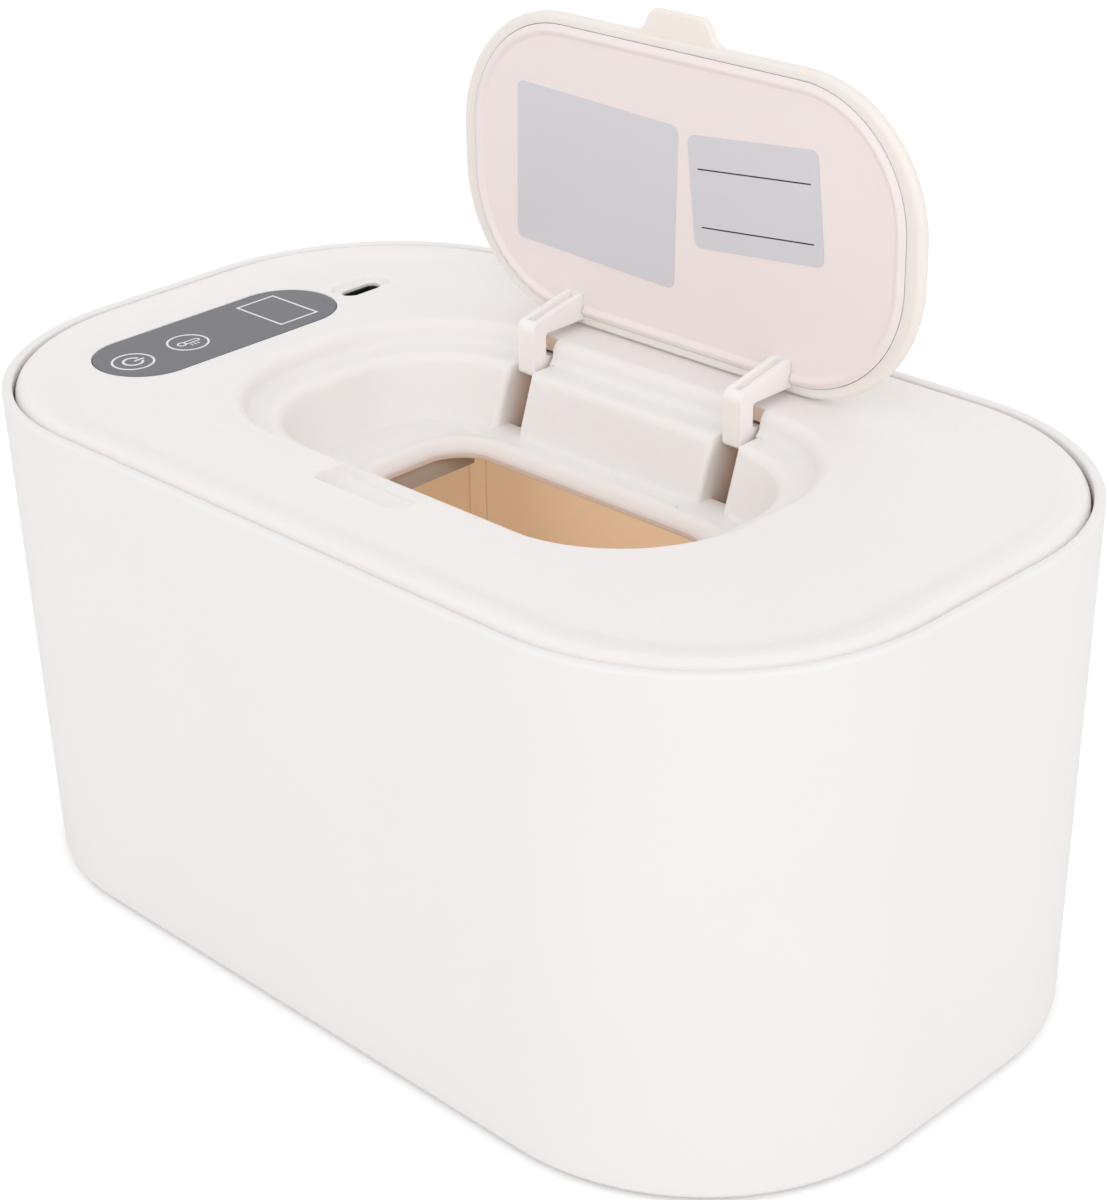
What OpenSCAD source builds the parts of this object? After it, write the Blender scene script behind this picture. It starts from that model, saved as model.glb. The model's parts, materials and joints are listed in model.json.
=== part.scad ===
// Baby wipe warmer: a tub with a lift-off top cover, a heated plate under the cover,
// and a small flip-up lid over the dispensing opening.
// Origin: middle of the footprint, on the surface it stands on. +X along the length,
// -Y towards the user, +Z up. Millimetres. The small lid is drawn open.

/* [Body] */
// Length of the body at the rim
body_w = 210; // [196:1:224]
// Depth of the body at the rim
body_d = 126.4; // [118:0.2:136]
// Height of the body without its feet
body_h = 100; // [96:1:112]
// Radius of the body's upright corners
corner_r = 47.6; // [42:0.2:52]
// Taper of each side, from the rim down to the bottom
draft = 2; // [0.5:0.1:3]
// Wall thickness of the shell
shell_wall = 2; // [1.6:0.1:2.4]
// Height of the rubber feet below the shell
foot_h = 0.8; // [0.5:0.1:2]

/* [Top cover] */
// Gap between the shell and the cover, measured sideways
cover_gap = 0.35; // [0.2:0.05:0.6]
// Thickness of the cover's skin
cover_skin = 1.9; // [1.6:0.1:2.2]
// Drop of the dish below the shell's rim
dish_drop = 0.7; // [0.4:0.1:1]
// Depth of the skirt, from the shell's rim down
skirt_depth = 21.4; // [20.6:0.2:22.6]

/* [Lid seat and well] */
// Length of the seat that the lid closes into
seat_w = 115; // [110:0.2:118]
// Depth of the seat, front to back
seat_d = 64.8; // [63.6:0.2:66]
// Height of the step round the seat
seat_step = 4.6; // [4.2:0.1:5]
// Width of the ledge under the lid's edge
ledge_w = 6.4; // [6:0.1:7]
// Depth of the well's floor below the dish
well_depth = 16.7; // [16:0.1:17.2]
// Length of the dispensing opening
opening_w = 67.4; // [60:0.2:68]
// Width of the dispensing opening
opening_d = 26.2; // [22:0.2:27]

/* [Lid] */
// Length of the lid
lid_w = 113.6; // [108:0.2:114]
// Depth of the lid, without its tab
lid_d = 61.2; // [60:0.2:62]
// Thickness of the lid over its edge
lid_t = 3.4; // [3.2:0.1:3.6]
// Length of the thumb tab
tab_len = 4.8; // [4:0.2:6]
// Opening angle at which the lid is drawn
lid_angle = 90; // [0:1:90]

/* [Hinge] */
// Distance of each hinge arm from the middle
arm_x = 26.4; // [22:0.1:30]
// Width of a hinge arm
arm_w = 4.3; // [3.8:0.1:4.6]
// Width of a hinge slot
slot_w = 5.9; // [5.6:0.1:6.4]
// Radius of a hinge pin
pin_r = 1.2; // [1:0.1:1.4]
// Clearance between a pin and its bore
pin_clear = 0.05; // [0.02:0.01:0.08]

/* [Controls] */
// Length of the control window
lens_l = 56.1; // [50:0.1:60]
// Width of the control window
lens_w = 21.1; // [18:0.1:23]
// Distance of the window's middle from the cover's middle, towards the left
lens_x = 77.4; // [76:0.1:80]
// Offset of the window's middle towards the user
lens_y = 8.1; // [4:0.1:12]

/* [Hidden] */

$fn = 48;
arc_steps = 14;          // facets in each quarter of a lofted outline
eps = 0.02;

white = [0.95, 0.95, 0.95];
cream = [0.97, 0.94, 0.91];
tan_plastic = [0.82, 0.67, 0.52];
foam = [0.92, 0.92, 0.9];
steel = [0.72, 0.73, 0.75];
board_green = [0.1, 0.36, 0.2];

// Heights, from the surface the warmer stands on
base_z = foot_h;
rim_z = base_z + body_h;
dish_z = rim_z - dish_drop;
crest_z = rim_z + 0.4;
ledge_z = dish_z - seat_step;
floor_z = dish_z - well_depth;
lip_z = floor_z - 2.4;
skirt_z = rim_z - skirt_depth;
seal_t = 1;
tub_top_z = skirt_z - seal_t;
tub_floor_z = base_z + 9.7;

half_w = body_w / 2;
half_d = body_d / 2;
seat_r = 27.6;
opening_r = 8.6;
opening_shift = 3.1;         // of the opening's middle, away from the control window
lid_r = 27;

// Hinge: the closed lid leaves more room behind it than in front, for its swing
bead_w = 106.8;
bead_d = 57;
bead_r = 24.2;
bead_h = 0.7;
bead_clear = 0.3;
lid_shift = 0.8;         // from the middle of the seat towards the user
lid_under_z = ledge_z + bead_clear + bead_h;
lid_top_z = lid_under_z + lid_t;
pivot_y = 37.6;
pivot_z = ledge_z - 3;

// A ring is [half length, half depth, corner radius, height, shift along the length]
function body_ring(inset, z) = [half_w - inset, half_d - inset, corner_r - inset, z];
function taper_inset(z) = draft * (rim_z - z) / body_h;
function wall_ring(inset, z) = body_ring(inset + taper_inset(z), z);
function seat_ring(inset, z) =
    [seat_w / 2 - inset, seat_d / 2 - inset, seat_r - inset, z];
function mouth_ring(outset, z) =
    [opening_w / 2 + outset, opening_d / 2 + outset, opening_r + outset, z, opening_shift];
function lid_ring(inset, z) = [lid_w / 2 - inset, lid_d / 2 - inset, lid_r - inset, z];
function bead_ring(inset, z) = [bead_w / 2 - inset, bead_d / 2 - inset, bead_r - inset, z];

// Outline of one ring as points, anticlockwise from above
function outline(ring) = [
    for (quarter = [0:3], i = [0:arc_steps])
        let (a = 90 * (quarter + i / arc_steps),
             sx = quarter == 0 || quarter == 3 ? 1 : -1,
             sy = quarter < 2 ? 1 : -1)
        [sx * (ring[0] - ring[2]) + ring[2] * cos(a) + (len(ring) > 4 ? ring[4] : 0),
         sy * (ring[1] - ring[2]) + ring[2] * sin(a),
         ring[3]]];

ring_points = 4 * (arc_steps + 1);
function band_faces(i, k) = [
    for (a = [0:ring_points - 1])
        let (b = (a + 1) % ring_points,
             lo = i * ring_points,
             hi = k * ring_points)
        each [[lo + a, hi + a, hi + b], [lo + a, hi + b, lo + b]]];

// Solid through a stack of rings, closed at both ends
module loft(rings) {
    last = len(rings) - 1;
    polyhedron(
        points = [for (r = rings) each outline(r)],
        faces = concat(
            [[for (a = [0:ring_points - 1]) a]],
            [for (i = [0:last - 1]) each band_faces(i, i + 1)],
            [[for (a = [ring_points - 1:-1:0]) last * ring_points + a]]),
        convexity = 8);
}

// Solid whose rings run round in a closed loop, with a hole in the middle
module loft_loop(rings) {
    count = len(rings);
    polyhedron(
        points = [for (r = rings) each outline(r)],
        faces = [for (i = [0:count - 1]) each band_faces(i, (i + 1) % count)],
        convexity = 10);
}

// Flat rounded rectangle with true arcs
module rounded(w, d, r) {
    square([w - 2 * r, d], center = true);
    square([w, d - 2 * r], center = true);
    for (sx = [-1, 1], sy = [-1, 1])
        translate([sx * (w / 2 - r), sy * (d / 2 - r)]) circle(r, $fn = 96);
}

module ring_plate(ring) {
    translate([len(ring) > 4 ? ring[4] : 0, 0]) rounded(2 * ring[0], 2 * ring[1], ring[2]);
}

module stadium(w, d) {
    square([w, d - w], center = true);
    for (sy = [-1, 1]) translate([0, sy * (d - w) / 2]) circle(d = w, $fn = 96);
}

module slab(z_low, z_high) {
    translate([0, 0, z_low]) linear_extrude(z_high - z_low) children();
}

module at_corners(x, y) {
    for (sx = [-1, 1], sy = [-1, 1]) translate([sx * x, sy * y, 0]) children();
}

// Pan-head screw along +Z, head underside at z = 0, thread going up
module screw(r, length) {
    head_h = 1.4;
    head_r = 1.9 * r;
    cross_depth = 0.8;
    translate([0, 0, -head_h]) {
        difference() {
            rotate_extrude() polygon([
                [0, 0], [1.5 * r, 0], [head_r, 0.5], [head_r, head_h], [0, head_h]]);
            for (a = [0, 90]) rotate(a)
                translate([-r, -0.25 * r, -eps]) cube([2 * r, 0.5 * r, cross_depth]);
        }
        translate([0, 0, head_h - eps]) rotate_extrude()
            polygon([[0, 0], [r, 0], [r, length - r], [0.3 * r, length], [0, length]]);
    }
}

// Insulated wire along straight runs with rounded bends
module wire(points, r) {
    for (i = [0:len(points) - 2]) {
        run = points[i + 1] - points[i];
        translate(points[i])
            rotate([0, acos(run[2] / norm(run)), atan2(run[1], run[0])])
                cylinder(r = r, h = norm(run), $fn = 16);
        if (i > 0) translate(points[i]) sphere(r, $fn = 16);
    }
}

// ---- Base: shell, tub and what is between them

foot_x = 70;
foot_y = 36;
foot_r = 7;
shell_floor_t = 2.4;
foot_recess = 1.2;
boss_joint_z = base_z + 4.6; // where the shell's bosses meet the tub's
shell_boss_r = 5;
tub_boss_r = 4;
tub_screw_r = 1.3;
tub_screw_z = base_z + 2.9;
tub_screw_l = 5.4;
screw_head_room_r = 2.9;
screw_play = 0.2;

shell_rings = [
    wall_ring(1.3, base_z),
    wall_ring(0.5, base_z + 0.35),
    wall_ring(0.1, base_z + 0.9),
    wall_ring(0, base_z + 1.6),
    wall_ring(0, rim_z - 0.9),
    wall_ring(0.25, rim_z - 0.25),
    wall_ring(0.8, rim_z),
    wall_ring(1.2, rim_z),
    wall_ring(shell_wall - 0.25, rim_z - 0.25),
    wall_ring(shell_wall, rim_z - 0.8),
    wall_ring(shell_wall, base_z + shell_floor_t + 1.6),
    wall_ring(shell_wall + 0.5, base_z + shell_floor_t + 0.5),
    wall_ring(shell_wall + 1.6, base_z + shell_floor_t)];

module outer_shell() {
    color(white) difference() {
        union() {
            loft(shell_rings);
            at_corners(foot_x, foot_y)
                translate([0, 0, base_z + 0.5])
                    cylinder(r = shell_boss_r, h = boss_joint_z - base_z - 0.5);
        }
        at_corners(foot_x, foot_y) {
            cylinder(r = foot_r + 0.1, h = base_z + foot_recess);
            cylinder(r = screw_head_room_r, h = tub_screw_z);
            cylinder(r = tub_screw_r + screw_play, h = boss_joint_z + 1);
        }
    }
}

module rubber_feet() {
    foot_top_z = base_z + foot_recess - 0.05;
    color([0.75, 0.75, 0.74]) at_corners(foot_x, foot_y) rotate_extrude() polygon([
        [0, 0], [foot_r - 0.8, 0], [foot_r, 0.6], [foot_r, foot_top_z], [0, foot_top_z]]);
}

tub_gap = 3;             // from the shell's inside to the tub's outside
tub_wall = 1.5;
tub_inset = shell_wall + tub_gap;
tub_floor_t = 1.5;
rim_play = 0.35;         // from the shell's inside to the tub's rim flange
guide_rib_x = 75;
guide_rib_w = 4;
guide_rib_h = 0.9;

tub_rings = [
    wall_ring(tub_inset + 5, tub_floor_z - tub_floor_t),
    wall_ring(tub_inset + 1.6, tub_floor_z - 0.6),
    wall_ring(tub_inset + 0.3, tub_floor_z + 1.4),
    wall_ring(tub_inset, tub_floor_z + 4),
    wall_ring(tub_inset, tub_top_z - 1.5),
    wall_ring(shell_wall + rim_play, tub_top_z - 1.5),
    wall_ring(shell_wall + rim_play, tub_top_z),
    wall_ring(tub_inset + tub_wall, tub_top_z),
    wall_ring(tub_inset + tub_wall, tub_floor_z + 4),
    wall_ring(tub_inset + tub_wall + 0.5, tub_floor_z + 1.8),
    wall_ring(tub_inset + tub_wall + 1.8, tub_floor_z + 0.5),
    wall_ring(tub_inset + tub_wall + 4, tub_floor_z)];

module inner_tub() {
    rib_z = (tub_floor_z + tub_top_z) / 2;
    rib_ring = wall_ring(tub_inset + tub_wall, rib_z);
    corner_x = rib_ring[0] - rib_ring[2];
    corner_y = rib_ring[1] - rib_ring[2];
    rib_turn = acos((guide_rib_x - corner_x) / rib_ring[2]);
    rib_lean = atan(draft / body_h);
    rib_size = [2 * guide_rib_h, guide_rib_w, tub_top_z - tub_floor_z - 6];
    color(tan_plastic) difference() {
        union() {
            loft(tub_rings);
            // guide ribs that centre the pack of wipes
            for (mx = [0, 1], my = [0, 1]) mirror([mx, 0, 0]) mirror([0, my, 0])
                translate([corner_x, corner_y, rib_z]) rotate(rib_turn)
                    translate([rib_ring[2], 0, 0]) rotate([0, rib_lean, 0])
                        cube(rib_size, center = true);
            // bosses for the screws from below
            at_corners(foot_x, foot_y)
                translate([0, 0, boss_joint_z])
                    cylinder(r = tub_boss_r, h = tub_floor_z - boss_joint_z - 0.4);
        }
        at_corners(foot_x, foot_y) cylinder(r = tub_screw_r, h = tub_screw_z + tub_screw_l + 0.4);
    }
}

module tub_screws() {
    color(steel) at_corners(foot_x, foot_y)
        translate([0, 0, tub_screw_z]) screw(tub_screw_r - eps, tub_screw_l);
}

foam_play = 0.25;
pad_inset = 14;

module insulation_sleeve() {
    sleeve_low = tub_floor_z + 4;
    sleeve_high = tub_top_z - 2;
    color(foam) loft_loop([
        wall_ring(shell_wall + foam_play, sleeve_low),
        wall_ring(shell_wall + foam_play, sleeve_high),
        wall_ring(tub_inset - foam_play, sleeve_high),
        wall_ring(tub_inset - foam_play, sleeve_low)]);
}

module insulation_pad() {
    pad_low = base_z + shell_floor_t + 0.1;
    color(foam) difference() {
        slab(pad_low, tub_floor_z - tub_floor_t - 0.1)
            ring_plate(body_ring(pad_inset, 0));
        at_corners(foot_x, foot_y) cylinder(r = shell_boss_r + 0.4, h = tub_floor_z);
    }
}

// ---- Top cover

skirt_inset = shell_wall + cover_gap;
skirt_wall = 1.8;
dish_inset = 10.4;
wall_foot_inset = 10.9;      // well wall at the floor, from the seat's outline

cover_rings = [
    // up the skirt and over the raised rim
    wall_ring(skirt_inset + 0.1, skirt_z),
    wall_ring(skirt_inset, rim_z - 3),
    body_ring(skirt_inset, rim_z - 1.9),
    body_ring(skirt_inset + 0.3, rim_z - 1.1),
    body_ring(skirt_inset + 0.9, rim_z - 0.35),
    body_ring(skirt_inset + 1.8, rim_z + 0.15),
    body_ring(skirt_inset + 3, crest_z),
    body_ring(skirt_inset + 4.4, crest_z),
    body_ring(dish_inset - 2.4, rim_z + 0.05),
    body_ring(dish_inset - 1.2, dish_z + 0.3),
    body_ring(dish_inset, dish_z),
    // across the dish, down the step and over the ledge
    seat_ring(-0.7, dish_z),
    seat_ring(-0.2, dish_z - 0.15),
    seat_ring(0.1, dish_z - 0.6),
    seat_ring(0.5, ledge_z + 0.5),
    seat_ring(1, ledge_z),
    seat_ring(ledge_w - 0.4, ledge_z),
    seat_ring(ledge_w + 0.3, ledge_z - 0.25),
    seat_ring(ledge_w + 0.7, ledge_z - 0.9),
    // down the well wall to the floor
    seat_ring(wall_foot_inset - 0.3, floor_z + 0.9),
    seat_ring(wall_foot_inset + 0.3, floor_z + 0.15),
    seat_ring(wall_foot_inset + 1, floor_z),
    // the rolled lip round the opening
    mouth_ring(5.6, floor_z),
    mouth_ring(4.4, floor_z + 0.35),
    mouth_ring(3.2, floor_z + 0.5),
    mouth_ring(2, floor_z + 0.2),
    mouth_ring(0.9, floor_z - 0.5),
    mouth_ring(0.2, floor_z - 1.4),
    mouth_ring(0, lip_z + 0.3),
    mouth_ring(0.2, lip_z),
    // back along the underside
    mouth_ring(2.6, lip_z),
    mouth_ring(4, floor_z - cover_skin),
    seat_ring(wall_foot_inset - cover_skin, floor_z - cover_skin),
    seat_ring(ledge_w - cover_skin + 0.7, ledge_z - cover_skin),
    seat_ring(-cover_skin + 0.4, ledge_z - cover_skin),
    seat_ring(-cover_skin, dish_z - cover_skin),
    body_ring(dish_inset + 0.6, dish_z - cover_skin),
    body_ring(skirt_inset + 4, rim_z - 1.6),
    body_ring(skirt_inset + skirt_wall + 0.3, rim_z - 2.2),
    wall_ring(skirt_inset + skirt_wall, rim_z - 4),
    wall_ring(skirt_inset + 0.1 + skirt_wall, skirt_z)];

plate_top_z = skirt_z + 1.5;
cover_screws = [[62, 46], [62, -46], [95.6, 0], [-62, 46], [-62, -46], [-95.6, 0]];
cover_screw_r = 1.3;
cover_screw_l = 7;
cover_boss_r = 3.2;
screw_sink = 0.7;            // how far the screw heads sink into the under plate

lens_t = 1.5;
lens_top_z = dish_z - 0.05;
lens_rest_z = lens_top_z - lens_t;
lens_play = 0.15;
lens_ledge_w = 2;            // ledge that the window is glued to
usb_x = 75.5;
usb_y = 28.5;
usb_recess_z = dish_z - 1;
usb_recess_w = 7.5;
usb_recess_l = 13;
usb_shell_w = 3.26;
usb_shell_l = 8.94;
notch_w = 22.4;
notch_r = 3;
notch_front = 41;            // how far the finger notch reaches towards the user
notch_back = seat_d / 2 - 3;
notch_z = ledge_z + 0.4;

ear_t = 2;                   // walls on both sides of a hinge slot
ear_foot_y = 22.3;           // they lean back with the well's wall, from here at the floor
ear_head_y = 26.1;
ear_rear_y = 35;
pocket_wall = 1.2;
pocket_rear_y = pivot_y + 4.7;
skin_cut_y = pivot_y - 3.6;  // the slot cuts the top skin back to here
groove_front_y = 19;
groove_step_y = 25.2;        // the groove's floor steps down here, under the closed arm
groove_step = 1.2;
groove_end_y = 27;           // the groove's floor ends here and the pocket starts

board_z = dish_z - 8.2;      // top face of the control board
board_t = 1.2;
board_w = 29;
board_l = 50;
board_post_x = 12.2;
board_post_y = 20;
usb_board_z = usb_recess_z - 9.1;
usb_board_size = [19, 13];
usb_post_x = 6.6;
post_r = 2;
board_screw_r = 0.9;
board_screw_l = 5;

module at_lens() {
    translate([-lens_x, -lens_y, 0]) children();
}

module at_usb() {
    translate([-usb_x, usb_y, 0]) children();
}

module at_hinges() {
    for (sx = [-1, 1]) translate([sx * arm_x, 0, 0]) children();
}

module at_board_posts() {
    at_lens() at_corners(board_post_x, board_post_y) children();
}

module at_usb_posts() {
    at_usb() for (sx = [-1, 1]) translate([sx * usb_post_x, 0, 0]) children();
}

module cover_bosses() {
    under_skin = dish_z - cover_skin + 0.3;
    wall_low = plate_top_z + 0.1;
    for (p = cover_screws)
        translate([p[0], p[1], wall_low])
            cylinder(r = cover_boss_r, h = under_skin - wall_low);
    at_board_posts() translate([0, 0, board_z]) cylinder(r = post_r, h = under_skin - board_z);
    at_usb_posts()
        translate([0, 0, usb_board_z]) cylinder(r = post_r, h = under_skin - usb_board_z);
    // frame under the control window
    at_lens() slab(lens_rest_z - 1.6, dish_z - 0.5) stadium(lens_w + 3, lens_l + 3);
    // boss round the power inlet
    at_usb() slab(usb_recess_z - 1.8, dish_z - 0.5)
        stadium(usb_recess_w + 2.9, usb_recess_l + 3);
    // block behind the finger notch
    translate([0, -(notch_front + seat_d / 2) / 2 - 0.4, 0])
        slab(notch_z - 1.8, dish_z - 0.5)
            square([notch_w + 3.6, notch_front - seat_d / 2 + 2.4], center = true);
    // box walls round each hinge slot, which carry the pins
    at_hinges() translate([-slot_w / 2 - 1, ear_foot_y - 0.5, wall_low])
        cube([slot_w + 2, groove_end_y - ear_foot_y + 0.5, floor_z - wall_low]);
    at_hinges() for (sx = [-1, 1]) translate([sx * (slot_w + ear_t) / 2 - ear_t / 2, 0, 0]) {
        rotate([90, 0, 90]) linear_extrude(ear_t)
            polygon([[ear_foot_y, wall_low], [ear_foot_y, floor_z], [ear_head_y, ledge_z - 1],
                     [ear_rear_y, ledge_z - 1], [ear_rear_y, wall_low]]);
        translate([0, seat_d / 2 + 0.8, wall_low])
            cube([ear_t, pocket_rear_y + pocket_wall - seat_d / 2 - 0.8, under_skin - wall_low]);
    }
    at_hinges() translate([-slot_w / 2 - ear_t, pocket_rear_y, wall_low])
        cube([slot_w + 2 * ear_t, pocket_wall, under_skin - wall_low]);
}

module cover_cuts() {
    // hinge slots: groove through wall, ledge and top skin, then the pocket behind
    at_hinges() {
        translate([-slot_w / 2, groove_front_y, floor_z])
            cube([slot_w, skin_cut_y - groove_front_y, well_depth + 5]);
        translate([-slot_w / 2, groove_step_y, floor_z - groove_step])
            cube([slot_w, skin_cut_y - groove_step_y, well_depth]);
        translate([-slot_w / 2, groove_end_y, skirt_z])
            cube([slot_w, pocket_rear_y - groove_end_y, dish_z - cover_skin - skirt_z]);
        translate([0, pivot_y, pivot_z]) rotate([0, 90, 0])
            cylinder(r = pin_r + eps, h = slot_w + 2 * ear_t + 2, center = true);
    }
    // control window
    at_lens() {
        slab(lens_rest_z, rim_z + 5) stadium(lens_w + 2 * lens_play, lens_l + 2 * lens_play);
        slab(lens_rest_z - 5, rim_z) stadium(lens_w - 2 * lens_ledge_w, lens_l - 2 * lens_ledge_w);
    }
    // power inlet
    at_usb() {
        slab(usb_recess_z, rim_z + 5) stadium(usb_recess_w, usb_recess_l);
        slab(usb_recess_z - 5, rim_z) stadium(usb_shell_w + 0.34, usb_shell_l + 0.36);
    }
    // finger notch in front of the lid's tab
    translate([0, -(notch_front + notch_back) / 2, 0])
        slab(notch_z, rim_z + 5) rounded(notch_w, notch_front - notch_back, notch_r);
    for (p = cover_screws)
        translate([p[0], p[1], skirt_z]) cylinder(r = cover_screw_r, h = cover_screw_l + 2);
    at_board_posts() translate([0, 0, board_z - 1])
        cylinder(r = board_screw_r, h = board_screw_l);
    at_usb_posts() translate([0, 0, usb_board_z - 1])
        cylinder(r = board_screw_r, h = board_screw_l);
}

module top_cover() {
    color(cream) difference() {
        union() {
            loft_loop(cover_rings);
            cover_bosses();
        }
        cover_cuts();
    }
}

module cover_seal() {
    color([0.88, 0.88, 0.86]) slab(tub_top_z, skirt_z) difference() {
        ring_plate(wall_ring(shell_wall + 0.4, skirt_z));
        ring_plate(wall_ring(tub_inset + tub_wall - 0.5, skirt_z));
    }
}

// ---- Under plate, heater and sensors

lead_window = [-70, 0];
lead_window_size = [7, 22];
fuse_at = [-62, -24];
ntc_at = [-62, 24];
sensor_window_size = [6, 15];
window_r = 2;
fuse_r = 1.5;
fuse_l = 9;
fuse_lead_l = 1.8;
sensor_wire_r = 0.5;
film_t = 0.25;
film_margin = 2;
heater_t = 1;
heater_w = 164;
heater_d = 80;
heater_r = 26;
heater_open_w = 77;
heater_open_d = 38;
heater_open_r = 4;
plate_mouth = 5;             // how far the plate's opening stands back from the cover's
plate_end = 0.8;             // the same at the two ends of the opening
collar_t = 1.6;
guide_rail_t = 1.6;
guide_rail_l = 35;
guide_rail_drop = 2.6;

module heater_outline(margin) {
    difference() {
        rounded(heater_w - 2 * margin, heater_d - 2 * margin, heater_r - margin);
        translate([opening_shift, 0])
            rounded(heater_open_w + 2 * margin, heater_open_d + 2 * margin, heater_open_r + margin);
    }
}

module under_plate() {
    color(white) difference() {
        union() {
            slab(skirt_z, plate_top_z)
                ring_plate(wall_ring(skirt_inset + skirt_wall + 0.4, skirt_z));
            // collar that closes the gap to the well's floor
            slab(plate_top_z - 0.5, floor_z - cover_skin - 0.1) difference() {
                ring_plate(mouth_ring(plate_mouth + collar_t, 0));
                ring_plate(mouth_ring(plate_mouth, 0));
            }
            // rails that guide a wipe at both ends of the opening
            for (sx = [-1, 1])
                translate([opening_shift + sx * (opening_w / 2 + plate_end + guide_rail_t / 2), 0, 0])
                    slab(skirt_z - guide_rail_drop, plate_top_z)
                        square([guide_rail_t, guide_rail_l], center = true);
        }
        slab(skirt_z - 1, plate_top_z + 1) {
            ring_plate([opening_w / 2 + plate_end, opening_d / 2 + plate_mouth,
                        opening_r + plate_end, 0, opening_shift]);
            translate(lead_window) rounded(lead_window_size[0], lead_window_size[1], window_r);
            for (p = [fuse_at, ntc_at]) translate(p)
                rounded(sensor_window_size[0], sensor_window_size[1], window_r);
        }
        for (p = cover_screws) translate([p[0], p[1], skirt_z - 1]) {
            cylinder(r = cover_screw_r + screw_play, h = 5);
            cylinder(r = screw_head_room_r, h = 1 + screw_sink);
        }
    }
}

module under_plate_screws() {
    color(steel) for (p = cover_screws)
        translate([p[0], p[1], skirt_z + screw_sink]) screw(cover_screw_r - eps, cover_screw_l);
}

module heating_film() {
    color([0.85, 0.55, 0.15]) slab(skirt_z - film_t, skirt_z) heater_outline(film_margin);
}

module heater_plate() {
    color([0.8, 0.81, 0.82])
        slab(skirt_z - film_t - heater_t, skirt_z - film_t) heater_outline(0);
}

module thermal_fuse() {
    color([0.9, 0.88, 0.82]) translate([fuse_at[0], fuse_at[1], skirt_z + fuse_r])
        rotate([90, 0, 0]) {
            cylinder(r = fuse_r, h = fuse_l, center = true);
            cylinder(r = 0.4, h = fuse_l + 2 * fuse_lead_l, center = true);
        }
}

module ntc_sensor() {
    color([0.12, 0.12, 0.13]) translate([ntc_at[0], ntc_at[1], skirt_z + 1]) {
        sphere(1);
        rotate([90, 0, 0]) cylinder(r = 0.9, h = 4);
    }
}

// Wires rise beside the well to the underside of the control board
lead_bend_z = skirt_z + 6;

module rising_wire(x, y, z, shift, r) {
    wire([[x, y, z], [x, y, lead_bend_z], [x - shift, y, lead_bend_z],
          [x - shift, y, board_z - board_t]], r);
}

module heater_leads() {
    color([0.75, 0.12, 0.1]) for (sy = [-1, 1])
        rising_wire(lead_window[0] + 1.5, 8 * sy, skirt_z + 0.1, 1.5, 0.7);
}

module sensor_leads() {
    color([0.9, 0.9, 0.9]) {
        wire([[ntc_at[0], ntc_at[1] - 4, skirt_z + 1], [ntc_at[0], 18, skirt_z + 1],
              [ntc_at[0], 18, lead_bend_z], [ntc_at[0] - 5, 18, lead_bend_z],
              [ntc_at[0] - 5, 15, lead_bend_z], [ntc_at[0] - 5, 15, board_z - board_t]],
             sensor_wire_r);
        for (sy = [-1, 1])
            rising_wire(fuse_at[0], fuse_at[1] + sy * (fuse_l / 2 + fuse_lead_l + sensor_wire_r),
                        skirt_z + fuse_r, 5, sensor_wire_r);
    }
}

// ---- Controls

display_w = 14.2;
display_d = 9.8;
display_at = [-0.1, 15.7];
power_key_at = [0.4, -21.1];
heat_key_at = [0.4, -7.6];
key_ring_r = 4.3;
print_w = 0.45;
print_t = 0.06;

module control_lens() {
    color([0.51, 0.51, 0.55]) at_lens() {
        slab(lens_rest_z, lens_top_z - 0.25) stadium(lens_w, lens_l);
        slab(lens_top_z - 0.25, lens_top_z) stadium(lens_w - 0.5, lens_l - 0.5);
    }
}

module ring_line(r, w) {
    difference() {
        circle(r, $fn = 64);
        circle(r - w, $fn = 64);
    }
}

module power_symbol() {
    difference() {
        ring_line(2.15, 0.5);
        translate([-0.75, 0.5]) square([1.5, 2]);
    }
    translate([-0.25, 0.3]) square([0.5, 2.3]);
}

module heat_symbol() {
    translate([0, -1.5]) ring_line(1, 0.35);
    for (sx = [-1, 1]) translate([sx * 0.55 - 0.15, -0.9]) square([0.3, 3]);
    translate([0, 2.1]) difference() {
        ring_line(0.7, 0.3);
        translate([-1, -2]) square([2, 2]);
    }
    for (i = [0:2]) translate([1.1, -0.3 + 0.8 * i]) square([0.9, 0.25]);
}

module key_symbols() {
    color([0.93, 0.93, 0.94]) at_lens() slab(lens_top_z, lens_top_z + print_t) {
        translate(power_key_at) {
            ring_line(key_ring_r, print_w);
            power_symbol();
        }
        translate(heat_key_at) {
            ring_line(key_ring_r, print_w);
            heat_symbol();
        }
        translate(display_at) difference() {
            square([display_w, display_d], center = true);
            square([display_w - 2 * print_w, display_d - 2 * print_w], center = true);
        }
    }
}

module display_module() {
    color([0.1, 0.1, 0.11]) at_lens() translate(display_at)
        slab(board_z, lens_rest_z - 0.2) square([display_w, display_d], center = true);
}

module control_board() {
    color(board_green) at_lens() difference() {
        union() {
            slab(board_z - board_t, board_z) rounded(board_w, board_l, 2);
            // controller, connector and regulator
            translate([0, -2, 0]) slab(board_z - board_t - 1.4, board_z - board_t)
                square([7, 7], center = true);
            translate([9.5, -1, 0]) slab(board_z, board_z + 3) square([5, 7], center = true);
            translate([-9, 4, 0]) slab(board_z, board_z + 2) square([4, 6], center = true);
        }
        at_corners(board_post_x, board_post_y)
            translate([0, 0, board_z - 3]) cylinder(r = board_screw_r + 0.15, h = 5);
    }
}

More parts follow.
